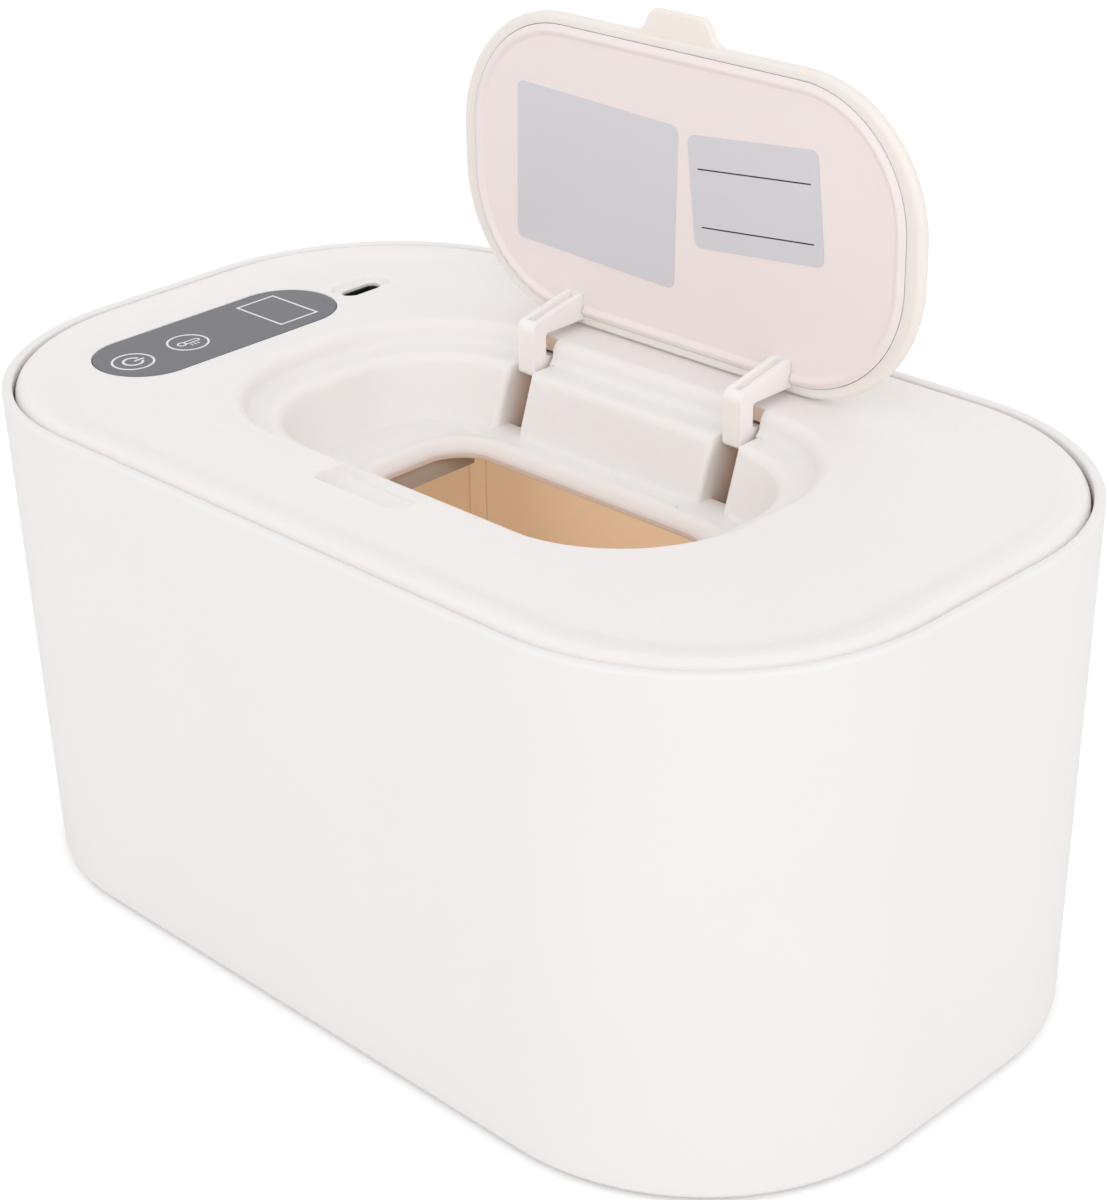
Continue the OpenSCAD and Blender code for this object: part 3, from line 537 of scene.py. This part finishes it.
def trackFinish(name, colour, track, pitch):
    # amber film over an etched heating track
    material, tree, shader, where = startFinish(name)
    waves = addNode(tree, "TexWave", {"Scale": 1 / (pitch * mm), "Distortion": 0.6},
                    wave_type="BANDS", bands_direction="Y")
    join(tree, (where, waves.inputs["Vector"]))
    tintBetween(tree, shader, waves.outputs["Fac"], colour, track)
    roughBetween(tree, shader, waves.outputs["Fac"], 0.28, 0.36)
    bumpFrom(tree, shader, waves.outputs["Fac"], 0.3, 0.03)
    return material


def boardFinish(name, mask, copper, pitch):
    # solder mask over a pattern of tracks
    material, tree, shader, where = startFinish(name)
    tracks = addNode(tree, "TexBrick", {"Scale": 1 / (pitch * mm),
                                        "Mortar Size": 0.05, "Mortar Smooth": 0.3,
                                        "Color1": (0, 0, 0, 1), "Color2": (0.12, 0.12, 0.12, 1),
                                        "Mortar": (1, 1, 1, 1)})
    join(tree, (where, tracks.inputs["Vector"]))
    tintBetween(tree, shader, tracks.outputs["Color"], mask, copper)
    roughBetween(tree, shader, tracks.outputs["Color"], 0.35, 0.25)
    bumpFrom(tree, shader, tracks.outputs["Color"], 0.4, 0.03)
    return material


def stickerFinish(name, colour, ink, middle, turn, rules, halfRule, ruleWidth=0.14):
    # satin silvered film, with printed rules in millimetres from the sticker's middle
    material, tree, shader, where = startFinish(name, metallic=0.25)
    own = addNode(tree, "Mapping", {"Location": [v * mm for v in middle],
                                    "Rotation": (0, math.radians(turn), 0)}, vector_type="TEXTURE")
    fibre = addNode(tree, "TexNoise", {"Scale": 900, "Detail": 3})
    sheen = addNode(tree, "TexNoise", {"Scale": 22, "Detail": 2})
    join(tree, (where, own.inputs["Vector"]))
    for texture in (fibre, sheen):
        join(tree, (own.outputs[0], texture.inputs["Vector"]))
    film = tintBetween(tree, shader, sheen.outputs["Fac"], [c * 0.965 for c in colour],
                       [min(1, c * 1.035) for c in colour])
    if rules:
        split = addNode(tree, "SeparateXYZ")
        join(tree, (own.outputs[0], split.inputs[0]))
        marks = None
        for height in rules:
            line = addNode(tree, "Math", {1: height * mm, 2: ruleWidth * mm}, operation="COMPARE")
            join(tree, (split.outputs["Z"], line.inputs[0]))
            if marks is None:
                marks = line
                continue
            either = addNode(tree, "Math", operation="MAXIMUM")
            join(tree, (marks.outputs[0], either.inputs[0]))
            join(tree, (line.outputs[0], either.inputs[1]))
            marks = either
        across = addNode(tree, "Math", {1: 0.0, 2: halfRule * mm}, operation="COMPARE")
        join(tree, (split.outputs["X"], across.inputs[0]))
        both = addNode(tree, "Math", operation="MULTIPLY")
        join(tree, (marks.outputs[0], both.inputs[0]))
        join(tree, (across.outputs[0], both.inputs[1]))
        printed = addNode(tree, "Mix", data_type="RGBA")
        printed.inputs[7].default_value = (*ink, 1)
        join(tree, (both.outputs[0], printed.inputs[0]))
        join(tree, (film.outputs[2], printed.inputs[6]))
        join(tree, (printed.outputs[2], shader.inputs["Base Color"]))
    roughBetween(tree, shader, fibre.outputs["Fac"], 0.4, 0.52)
    bumpFrom(tree, shader, fibre.outputs["Fac"], 0.2, 0.01)
    return material


shellWhite = plasticFinish("shellWhite", (0.865, 0.85, 0.852), rough=0.38)
coverCream = plasticFinish("coverCream", (0.9, 0.865, 0.855), rough=0.42, glow=0.25)
lidCream = plasticFinish("lidCream", (0.885, 0.83, 0.79), rough=0.42, glow=0.25)
panelCream = plasticFinish("panelCream", (0.895, 0.81, 0.795), rough=0.45)
armCream = plasticFinish("armCream", (0.96, 0.925, 0.91), rough=0.36, glow=0.25)
plateTaupe = plasticFinish("plateTaupe", (0.5, 0.43, 0.38), rough=0.5, grain=0.5)
tubTan = plasticFinish("tubTan", (0.81, 0.63, 0.455), rough=0.4)
lensGrey = plasticFinish("lensGrey", (0.13, 0.132, 0.154), rough=0.36, grain=0.2, grainDepth=0.006)
printWhite = plasticFinish("printWhite", (0.82, 0.82, 0.84), rough=0.5, grain=0.15)
blackPlastic = plasticFinish("blackPlastic", (0.012, 0.012, 0.014), rough=0.4, mottle=0.15)
fuseCeramic = plasticFinish("fuseCeramic", (0.8, 0.76, 0.66), rough=0.6, mottle=0.04)
feetRubber = plasticFinish("feetRubber", (0.52, 0.52, 0.51), rough=0.75, grain=0.6, grainDepth=0.03)
sealSilicone = plasticFinish("sealSilicone", (0.72, 0.72, 0.7), rough=0.55, mottle=0.03)
wireRed = plasticFinish("wireRed", (0.5, 0.03, 0.025), rough=0.45, mottle=0.06)
wireWhite = plasticFinish("wireWhite", (0.75, 0.75, 0.73), rough=0.45, mottle=0.03)
wireBlack = plasticFinish("wireBlack", (0.02, 0.02, 0.022), rough=0.45, mottle=0.15)
steel = metalFinish("steel", (0.6, 0.6, 0.61), rough=0.3)
socketSteel = metalFinish("socketSteel", (0.16, 0.16, 0.165), rough=0.38, brush=(1, 1, 0.05))
heaterAluminium = metalFinish("heaterAluminium", (0.75, 0.76, 0.77), rough=0.36, brush=(0.04, 1, 1))
foam = foamFinish("foam", (0.8, 0.8, 0.77))
filmAmber = trackFinish("filmAmber", (0.55, 0.22, 0.03), (0.25, 0.09, 0.02), pitch=9.0)
boardGreen = boardFinish("boardGreen", (0.012, 0.09, 0.03), (0.05, 0.2, 0.08), pitch=6.0)
print("finishes made")


# outlines shared by the pieces

body = {
    "halfW": shellHigh.x / mm,
    "halfD": shellHigh.y / mm,
    "cornerR": 47.6,
    "draft": 2.0,               # taper of each side over the height
    "rimZ": shellHigh.z / mm,
    "baseZ": shellLow.z / mm,
    "wall": 2.0,
}
body["height"] = body["rimZ"] - body["baseZ"]


def bodyRing(inset, z, rounding=0.0):
    return (body["halfW"] - inset, body["halfD"] - inset, body["cornerR"] - inset, z, rounding)


def wallRing(inset, z, rounding=0.0):
    taper = body["draft"] * (body["rimZ"] - z) / body["height"]
    return bodyRing(inset + taper, z, rounding)


# outer shell

shell = {
    "footRounding": 1.3,
    "rimRounding": 0.8,
    "floorT": 2.4,
    "innerRounding": 1.6,
    "footX": 70.0, "footY": 36.0, "footR": 7.1, "footRecess": 1.2,
    "bossR": 5.0, "bossLow": 1.2, "bossTop": 4.6,
    "headRoomR": 2.9, "headRoomTop": 2.9, "screwR": 1.5,
}


def makeShell():
    floorZ = body["baseZ"] + shell["floorT"]
    piece = ringObject("outerShell", [
        wallRing(0, body["baseZ"], shell["footRounding"]),
        wallRing(0, body["rimZ"], shell["rimRounding"]),
        wallRing(body["wall"], body["rimZ"], 0.6),
        wallRing(body["wall"], floorZ, shell["innerRounding"])])
    bosses, recesses = [], []
    for sideX in (-1, 1):
        for sideY in (-1, 1):
            spot = (sideX * shell["footX"], sideY * shell["footY"])
            bosses.append(place(upright("boss", shell["bossR"], body["baseZ"] + shell["bossLow"],
                                        body["baseZ"] + shell["bossTop"]), *spot))
            for r, top in ((shell["footR"], shell["footRecess"]),
                           (shell["headRoomR"], shell["headRoomTop"]),
                           (shell["screwR"], shell["bossTop"] + 1)):
                recesses.append(place(upright("recess", r, body["baseZ"] - 1, body["baseZ"] + top),
                                      *spot))
    combine(piece, bosses, "UNION")
    combine(piece, recesses, "DIFFERENCE")
    finishPiece(piece, "base", "outer_shell", shellWhite)


makeShell()


# inner tub

tub = {
    "gap": 3.0, "wall": 1.5, "floorZ": body["baseZ"] + 9.7, "floorRounding": 4.0,
    "underRounding": 5.0, "rimZ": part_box("inner_tub")[1].z / mm, "flangeT": 1.5, "rimPlay": 0.35,
    "ribX": 69.0, "ribW": 4.0, "ribH": 0.9, "ribSoft": 0.4, "ribEnds": 6.0,
    "bossR": 4.0, "bossLow": body["baseZ"] + 4.6, "bossSink": 0.4,
    "screwR": 1.3, "screwTop": body["baseZ"] + 8.7,
}


def makeTub():
    inset = body["wall"] + tub["gap"]
    flange = body["wall"] + tub["rimPlay"]
    lowZ = tub["floorZ"] - tub["wall"]
    piece = ringObject("innerTub", [
        wallRing(inset, lowZ, tub["underRounding"]),
        wallRing(inset, tub["rimZ"] - tub["flangeT"], 0),
        wallRing(flange, tub["rimZ"] - tub["flangeT"], 0.2),
        wallRing(flange, tub["rimZ"], 0.3),
        wallRing(inset + tub["wall"], tub["rimZ"], 0.5),
        wallRing(inset + tub["wall"], tub["floorZ"], tub["floorRounding"])])
    ribZ = (tub["floorZ"] + tub["rimZ"]) / 2
    middle = wallRing(inset + tub["wall"], ribZ)
    cornerX, cornerY, radius = middle[0] - middle[2], middle[1] - middle[2], middle[2]
    turn = math.acos((tub["ribX"] - cornerX) / radius)
    lean = math.atan(body["draft"] / body["height"])
    halfRib = (tub["rimZ"] - tub["floorZ"] - tub["ribEnds"]) / 2
    ribs, bosses, bores = [], [], []
    for sideX in (-1, 1):
        for sideY in (-1, 1):
            rib = block("guideRib", (-tub["ribH"], -tub["ribW"] / 2, -halfRib),
                        (tub["ribH"], tub["ribW"] / 2, halfRib), tub["ribSoft"])
            rib.data.transform(Matrix.Diagonal((sideX, sideY, 1, 1))
                               @ Matrix.Translation((cornerX, cornerY, ribZ))
                               @ Matrix.Rotation(turn, 4, "Z")
                               @ Matrix.Translation((radius, 0, 0))
                               @ Matrix.Rotation(lean, 4, "Y"))
            if sideX * sideY < 0:
                rib.data.flip_normals()
            ribs.append(rib)
            spot = (sideX * shell["footX"], sideY * shell["footY"])
            bosses.append(place(upright("boss", tub["bossR"], tub["bossLow"],
                                        tub["floorZ"] - tub["bossSink"]), *spot))
            bores.append(place(upright("bore", tub["screwR"], tub["bossLow"] - 1,
                                       tub["screwTop"]), *spot))
    combine(piece, ribs + bosses, "UNION")
    combine(piece, bores, "DIFFERENCE")
    finishPiece(piece, "base", "inner_tub", tubTan)


makeTub()


# top cover

pivotY, pivotZ = lidPivot.y / mm, lidPivot.z / mm
cover = {
    "gap": 0.35, "skin": 1.9, "skirtWall": 1.8, "skirtZ": coverLow.z / mm,
    "crestZ": coverHigh.z / mm, "dishZ": body["rimZ"] - 0.7,
    "seatW": 115.0, "seatD": 64.8, "seatR": 27.6, "seatStep": 4.6, "ledgeW": 6.4,
    "wellDepth": 16.7, "wallFoot": 10.9,
    "mouthW": 67.4, "mouthD": 26.2, "mouthR": 8.6, "mouthX": 3.1, "mouthLip": 2.4,
    "crestW": 4.7, "dishEdge": 8.2,
}
cover["ledgeZ"] = cover["dishZ"] - cover["seatStep"]
cover["floorZ"] = cover["dishZ"] - cover["wellDepth"]
cover["lipZ"] = cover["floorZ"] - cover["mouthLip"]
notch = {"w": 22.4, "front": 41.0, "halfD": 6.0, "r": 3.0, "lift": 0.4, "flare": 0.8,
         "soft": 1.4, "blockX": 13.0, "blockFront": 43.2, "blockBack": 32.8, "blockT": 1.8}
usb = {"x": -75.5, "y": 28.5, "w": 7.5, "l": 13.0, "depth": 1.0, "flare": 0.6, "soft": 0.3,
       "bossW": 10.4, "bossL": 16.0, "bossT": 1.8, "slotW": 3.6, "slotL": 9.3, "slotFlat": 0.1}
slot = {
    "x": 26.4, "w": 5.9, "grooveFront": 19.0, "skinCut": pivotY - 3.6,
    "stepY": 25.2, "step": 1.2, "pocketFront": 27.0, "pocketRear": pivotY + 4.7,
    "wallT": 2.0, "rearT": 1.2, "mouthSoft": 1.3, "ledgeSoft": 0.9,
    "wallFootY": 22.3, "wallHeadY": 26.1, "wallEndY": 33.6, "boxStartY": 33.2,
    "lipY": 33.9, "lipT": 1.7, "lipZ": pivotZ + 4.5, "lipSink": 0.3,
}
lens = {"x": -77.4, "y": -8.1, "w": 21.1, "l": 56.1, "t": 1.5, "play": 0.15, "drop": 0.05,
        "rounding": 0.25, "seatFlare": 0.2, "ledgeW": 2.0, "frameW": 1.5, "frameT": 1.6}


def seatRing(inset, z, rounding=0.0):
    return (cover["seatW"] / 2 - inset, cover["seatD"] / 2 - inset, cover["seatR"] - inset,
            z, rounding)


def mouthRing(outset, z, rounding=0.0):
    return (cover["mouthW"] / 2 + outset, cover["mouthD"] / 2 + outset,
            cover["mouthR"] + outset, z, rounding, cover["mouthX"])


def coverRings():
    skirt = body["wall"] + cover["gap"]
    skin, wall = cover["skin"], cover["skirtWall"]
    dishZ, ledgeZ, floorZ, lipZ = (cover[k] for k in ("dishZ", "ledgeZ", "floorZ", "lipZ"))
    return [
        wallRing(skirt, cover["skirtZ"], 0.2),
        bodyRing(skirt, cover["crestZ"], 2.7),
        bodyRing(skirt + cover["crestW"], cover["crestZ"], 1.9),
        bodyRing(skirt + cover["dishEdge"], dishZ, 1.6),
        # the seat of the lid, its ledge and the well
        seatRing(0, dishZ, 2.2),
        seatRing(0.6, ledgeZ, 1.8),
        seatRing(cover["ledgeW"] + 0.3, ledgeZ, 1.8),
        seatRing(cover["wallFoot"], floorZ, 0.9),
        # the rolled lip of the opening
        mouthRing(5.9, floorZ, 1.1),
        mouthRing(3.6, floorZ + 0.65, 1.2),
        mouthRing(0.45, floorZ - 1.0, 0.5),
        mouthRing(0.3, lipZ + 1.15, 0.05),
        mouthRing(0.08, lipZ + 1.05, 0.05),
        mouthRing(0, lipZ, 0.25),
        # back along the underside
        mouthRing(2.6, lipZ, 0.2),
        mouthRing(4, floorZ - skin, 0.4),
        seatRing(cover["wallFoot"] - skin, floorZ - skin, 1.2),
        seatRing(cover["ledgeW"] - skin + 0.7, ledgeZ - skin, 0.3),
        seatRing(0.4 - skin, ledgeZ - skin, 1.2),
        seatRing(-skin, dishZ - skin, 0.3),
        bodyRing(skirt + wall + 0.3, dishZ - skin, 0.3),
        wallRing(skirt + wall + 0.1, cover["skirtZ"], 0.2)]


def slotWalls(x):
    # solid walls round a hinge slot, which carry the pin
    outerX = slot["w"] / 2 + slot["wallT"]
    lowZ = cover["skirtZ"] + 1.6
    rearTop = cover["dishZ"] - cover["skin"] + 0.3
    return [
        outlineSolid("slotWalls", [
            (slot["wallFootY"], lowZ, 0), (slot["wallFootY"], cover["floorZ"] - 0.02, 0),
            (slot["wallHeadY"], cover["ledgeZ"] - 1, 0), (slot["wallEndY"], cover["ledgeZ"] - 1, 0),
            (slot["wallEndY"], lowZ, 0)], "x", x - outerX, x + outerX),
        block("slotWalls", (x - outerX, slot["boxStartY"], lowZ),
              (x + outerX, slot["pocketRear"] + slot["rearT"], rearTop))]


def slotCutters(x):
    # the groove, its lower step, the pocket behind, and the two softened mouths; the hundredths
    # added to a place keep a cutter's face off the face beside it
    half, floorZ, ledgeZ = slot["w"] / 2, cover["floorZ"], cover["ledgeZ"]
    soft, soften = slot["mouthSoft"], slot["ledgeSoft"]
    footY = cover["seatD"] / 2 - cover["wallFoot"] - 0.03
    lean = cover["wallFoot"] - cover["ledgeW"] - 0.3
    wide = half + soft + 0.6
    groove = block("groove", (x - half, slot["grooveFront"], floorZ),
                   (x + half, slot["skinCut"], cover["dishZ"] + 5))
    step = block("grooveStep", (x - half, slot["stepY"], floorZ - slot["step"]),
                 (x + half, slot["skinCut"], floorZ + 1))
    hollow = block("hingePocket", (x - half, slot["pocketFront"], cover["skirtZ"] - 1),
                   (x + half, slot["pocketRear"], cover["dishZ"] - cover["skin"]))
    mouth = outlineSolid("grooveMouth", [
        (x - wide, footY - 4, 0), (x + wide, footY - 4, 0), (x + wide, footY, 0),
        (x + half, footY, soft), (x + half, footY + 4, 0), (x - half, footY + 4, 0),
        (x - half, footY, soft), (x - wide, footY, 0)],
        "z", floorZ + 0.01, ledgeZ + 0.01, (0, lean))
    top = ledgeZ + 0.03
    wide = half + soften + 0.6
    brim = outlineSolid("grooveBrim", [
        (x - wide, top + 2, 0), (x + wide, top + 2, 0), (x + wide, top, 0),
        (x + half, top, soften), (x + half, top - 3, 0), (x - half, top - 3, 0),
        (x - half, top, soften), (x - wide, top, 0)],
        "y", footY + lean - 1, cover["seatD"] / 2 - 1.4)
    return [groove, step, hollow, mouth, brim]


def makeCover():
    piece = ringObject("topCover", coverRings(), loop=True)
    dishZ, ledgeZ = cover["dishZ"], cover["ledgeZ"]
    lensW, lensL, frameW = lens["w"] / 2, lens["l"] / 2, lens["frameW"]
    lensFloor = dishZ - lens["drop"] - lens["t"]
    usbFloor = dishZ - usb["depth"]
    solids = [
        place(stadium("usbBoss", usb["bossW"] / 2, usb["bossL"] / 2, usbFloor - usb["bossT"],
                      dishZ - 0.5), usb["x"], usb["y"]),
        place(stadium("lensFrame", lensW + frameW, lensL + frameW, lensFloor - lens["frameT"],
                      dishZ - 0.5), lens["x"], lens["y"]),
        block("notchBlock",
              (-notch["blockX"], -notch["blockFront"], ledgeZ + notch["lift"] - notch["blockT"]),
              (notch["blockX"], -notch["blockBack"], dishZ - 1.6))]
    cutters = [
        place(pocket("lensSeat", lensW + lens["play"], lensL + lens["play"],
                     lensW + lens["play"] - 0.01, lensFloor, dishZ, lens["seatFlare"]),
              lens["x"], lens["y"]),
        place(stadium("lensWindow", lensW - lens["ledgeW"], lensL - lens["ledgeW"], dishZ - 6,
                      dishZ - 1), lens["x"], lens["y"]),
        place(pocket("usbRecess", usb["w"] / 2, usb["l"] / 2, usb["w"] / 2 - 0.1,
                     usbFloor, dishZ, usb["flare"], usb["soft"]), usb["x"], usb["y"]),
        place(stadium("usbSlot", usb["slotW"] / 2, usb["slotL"] / 2, dishZ - 8, dishZ,
                      flat=usb["slotFlat"]), usb["x"], usb["y"]),
        place(pocket("notch", notch["w"] / 2, notch["halfD"], notch["r"], ledgeZ + notch["lift"],
                     dishZ, notch["flare"], notch["soft"]), 0, notch["halfD"] - notch["front"])]
    lips = []
    for side in (-1, 1):
        x, halfLip = side * slot["x"], slot["w"] / 2 + slot["lipSink"]
        solids += slotWalls(x)
        cutters += slotCutters(x)
        # a lip that hides the pocket behind the arm
        lips.append(block("slotLip", (x - halfLip, slot["lipY"], slot["lipZ"]),
                          (x + halfLip, slot["lipY"] + slot["lipT"],
                           dishZ - cover["skin"] + 0.4)))
    combine(piece, solids, "UNION")
    combine(piece, cutters, "DIFFERENCE")
    combine(piece, lips, "UNION")
    finishPiece(piece, "cover", "top_cover", coverCream)


makeCover()
# painted shade in both hinge slots, laid into the cover's colour
paintSlotShade(coverCream, {
    "paintedShade": (0.92, 0.66, 0.5), "middleX": slot["x"], "halfX": slot["w"] / 2 + 0.06,
    "middleY": 32.0, "halfY": 11.0, "lowZ": cover["floorZ"] - 3, "highZ": cover["dishZ"] - 0.3,
    "frontY": cover["seatD"] / 2 - cover["wallFoot"] + 0.6, "growth": 9.0, "lean": 0.33})
# painted shade and painted reflection of the tub on the opening's lip, laid into the cover's colour
paintLipShade(coverCream, {
    "paintedShade": (0.7, 0.52, 0.42), "strength": 0.75, "middleX": cover["mouthX"],
    "halfX": cover["mouthW"] / 2 + 4, "halfY": cover["mouthD"] / 2 + 4,
    "highZ": cover["floorZ"] + 0.5, "lowZ": cover["lipZ"]})


# control window

def makeLens():
    topZ = cover["dishZ"] - lens["drop"]
    halfW, halfL = lens["w"] / 2, lens["l"] / 2
    piece = stadium("controlLens", halfW, halfL, topZ - lens["t"], topZ, lens["rounding"])
    place(piece, lens["x"], lens["y"])
    finishPiece(piece, "cover", "control_lens", lensGrey)


makeLens()


# lid: shaped closed, then swung open about its pins

lid = {
    "w": 113.6, "d": 61.2, "r": 27.0, "t": 3.4, "shift": 0.8, "frontSoft": 1.1, "backSoft": 2.2,
    "beadW": 106.8, "beadD": 57.0, "beadR": 24.2, "beadH": 0.7, "beadClear": 0.3, "beadT": 2.4,
    "panelT": 1.2,
    "tabLen": 4.8, "tabRoot": 9.2, "tabTip": 6.7, "tabTipR": 1.5, "tabFlare": 2.0,
    "tabLow": 0.4, "tabHigh": 2.0, "tabSoft": 0.55,
    "gapNear": 20.0, "gapFar": 34.0, "gapPlay": 0.15,
}
lid["underZ"] = cover["ledgeZ"] + lid["beadClear"] + lid["beadH"]
lid["topZ"] = lid["underZ"] + lid["t"]


def lidRing(inset, z, rounding=0.0):
    return (lid["w"] / 2 - inset, lid["d"] / 2 - inset, lid["r"] - inset, z, rounding)


def beadRing(inset, z, rounding=0.0):
    return (lid["beadW"] / 2 - inset, lid["beadD"] / 2 - inset, lid["beadR"] - inset, z, rounding)


def openLid(piece):
    pivot = Vector((0, pivotY, pivotZ))
    turn = Matrix.Rotation(math.radians(-90), 4, "X")
    middle = Matrix.Translation((0, -lid["shift"], 0))
    piece.data.transform(Matrix.Translation(pivot) @ turn @ Matrix.Translation(-pivot) @ middle)


def makeLidOuter():
    piece = ringObject("lidOuter", [
        beadRing(-0.1, lid["topZ"] - 1.6, 0),
        beadRing(-0.1, lid["underZ"], 0.1),
        lidRing(0, lid["underZ"], lid["frontSoft"]),
        lidRing(0, lid["topZ"], lid["backSoft"])])
    applyModifiers(piece)
    edge, root, tip = lid["d"] / 2, lid["tabRoot"], lid["tabTip"]
    wide = root + lid["tabFlare"] + 1.5
    tab = outlineSolid("tab", [
        (-wide, 1.5 - edge, 0), (-wide, -edge, 0), (-root, -edge, lid["tabFlare"]),
        (-tip, -edge - lid["tabLen"], lid["tabTipR"]), (tip, -edge - lid["tabLen"], lid["tabTipR"]),
        (root, -edge, lid["tabFlare"]), (wide, -edge, 0), (wide, 1.5 - edge, 0)],
        "z", lid["underZ"] + lid["tabLow"], lid["underZ"] + lid["tabHigh"])
    softenEdges(tab, lid["tabSoft"])
    combine(piece, [tab], "UNION")
    openLid(piece)
    finishPiece(piece, "lid", "lid_outer", lidCream)


def makeLidPanel():
    under, steps = lid["underZ"], 14
    rings = []
    for i in range(steps + 1):
        across = 1 - i / steps
        lift = lid["beadH"] * (0.5 - 0.5 * math.cos(2 * math.pi * across)) ** 0.8
        rings.append(beadRing(lid["beadT"] * across, under - lift))
    rings.append(beadRing(0, under + lid["panelT"]))
    piece = ringObject("lidPanel", rings)
    gaps = []
    for side in (-1, 1):
        x = side * slot["x"]
        halfGap = arm["w"] / 2 + lid["gapPlay"]
        gaps.append(block("beadGap", (x - halfGap, lid["gapNear"], under - 2),
                          (x + halfGap, lid["gapFar"], under)))
    combine(piece, gaps, "DIFFERENCE")
    openLid(piece)
    finishPiece(piece, "lid", "lid_inner_panel", panelCream, sharpAngle=50)


# goose-neck hinge arms, drawn round their pin with the lid upright

arm = {
    "w": 4.3, "reach": 10.0, "legT": 3.4, "barZ": 9.3, "webT": 1.6, "flangeT": 1.2,
    "frontZ": 11.8, "rootZ": 14.6, "hookLow": 1.3, "hookHigh": 4.6, "knuckleR": 3.1, "boreR": 1.25,
    "footW": 2.4, "soft": 0.4,
    "channelStart": 1.5, "channelDepth": 1.3, "channelEnd": 0.3, "channelTop": 18.0,
}
arm["plane"] = lid["underZ"] - pivotZ


def makeArm(name, node, x):
    front, back, plane = -arm["reach"], arm["legT"] - arm["reach"], arm["plane"]
    barZ, knuckle, half = arm["barZ"], arm["knuckleR"], arm["w"] / 2
    piece = outlineSolid(name, [
        (front, arm["hookLow"], 0.6), (front, barZ + arm["webT"], 0.8),
        (plane, barZ + arm["webT"], 0),
        (plane, barZ, 0), (back, barZ, 0.7), (back, arm["hookHigh"], 0.3), (-0.4, knuckle, 0),
        (-1.5, 0.4 - knuckle, 0)], "x", -half, half)
    parts = [roundBar("knuckle", knuckle, arm["w"]),
             block("foot", (-arm["footW"] / 2, plane - 0.5, barZ + 2),
                   (arm["footW"] / 2, plane + lid["panelT"], arm["rootZ"] - 0.4))]
    parts.append(outlineSolid("back", [
        (front, barZ, 0), (front, arm["frontZ"], 1.6), (plane, arm["rootZ"], 0), (plane, barZ, 0)],
        "x", -half, half))
    combine(piece, parts, "UNION")
    start, climb = front + arm["channelStart"], (arm["rootZ"] - arm["frontZ"]) / (plane - front)
    startZ = arm["frontZ"] + climb * arm["channelStart"] - arm["channelDepth"]
    end, topZ = plane - arm["channelEnd"], arm["channelTop"]
    channel = outlineSolid("channel", [
        (start, startZ, 0.9), (end, arm["rootZ"] - arm["channelDepth"], 0), (end, topZ, 0),
        (start, topZ, 0)], "x", arm["flangeT"] - half, half - arm["flangeT"])
    combine(piece, [channel, roundBar("bore", arm["boreR"], arm["w"] + 2)], "DIFFERENCE")
    softenEdges(piece, arm["soft"])
    place(piece, x, pivotY, pivotZ)
    finishPiece(piece, "lid", node, armCream)


makeLidOuter()
makeLidPanel()
makeArm("hingeArmLeft", "hinge_arm_left", -slot["x"])
makeArm("hingeArmRight", "hinge_arm_right", slot["x"])


# stickers inside the lid, left without words

stickers = {
    "label_large": {"at": (-20.7, 0.55), "turn": 1.9, "rules": (), "halfRule": 0},
    "label_small": {"at": (19.3, -4.65), "turn": -5.8, "rules": (4.4, -6.6), "halfRule": 13.4},
}


def stickerMaterial(name):
    spec = stickers[name]
    x, y = spec["at"]
    openZ = pivotZ + pivotY + lid["shift"] - y        # the closed lid's y, once it stands open
    return stickerFinish(name, (0.7, 0.69, 0.735), (0.03, 0.03, 0.035), (x, 0, openZ), spec["turn"],
                         spec["rules"], spec["halfRule"])


# finishes of the solids, shown or replaced

nodeFinish = {
    "insulation_sleeve": foam, "insulation_pad": foam, "tub_screws": steel,
    "rubber_feet": feetRubber,
    "cover_seal": sealSilicone, "under_plate": plateTaupe, "under_plate_screws": steel,
    "heater_plate": heaterAluminium, "heating_film": filmAmber, "thermal_fuse": fuseCeramic,
    "ntc_sensor": blackPlastic, "heater_leads": wireRed, "sensor_leads": wireWhite,
    "key_symbols": printWhite, "display_module": blackPlastic, "control_board": boardGreen,
    "board_screws": steel, "touch_springs": steel, "usb_socket": socketSteel,
    "usb_tongue": blackPlastic, "usb_board": boardGreen, "power_leads": wireBlack,
    "hinge_pins": steel,
    "label_large": stickerMaterial("label_large"), "label_small": stickerMaterial("label_small"),
    "outer_shell": shellWhite, "inner_tub": tubTan, "top_cover": coverCream,
    "control_lens": lensGrey,
    "lid_outer": lidCream, "lid_inner_panel": panelCream,
    "hinge_arm_left": armCream, "hinge_arm_right": armCream,
}
for name, node in frame["nodes"].items():
    node.data.materials.clear()
    node.data.materials.append(nodeFinish[name])
print("finishes given to", len(nodeFinish), "nodes")
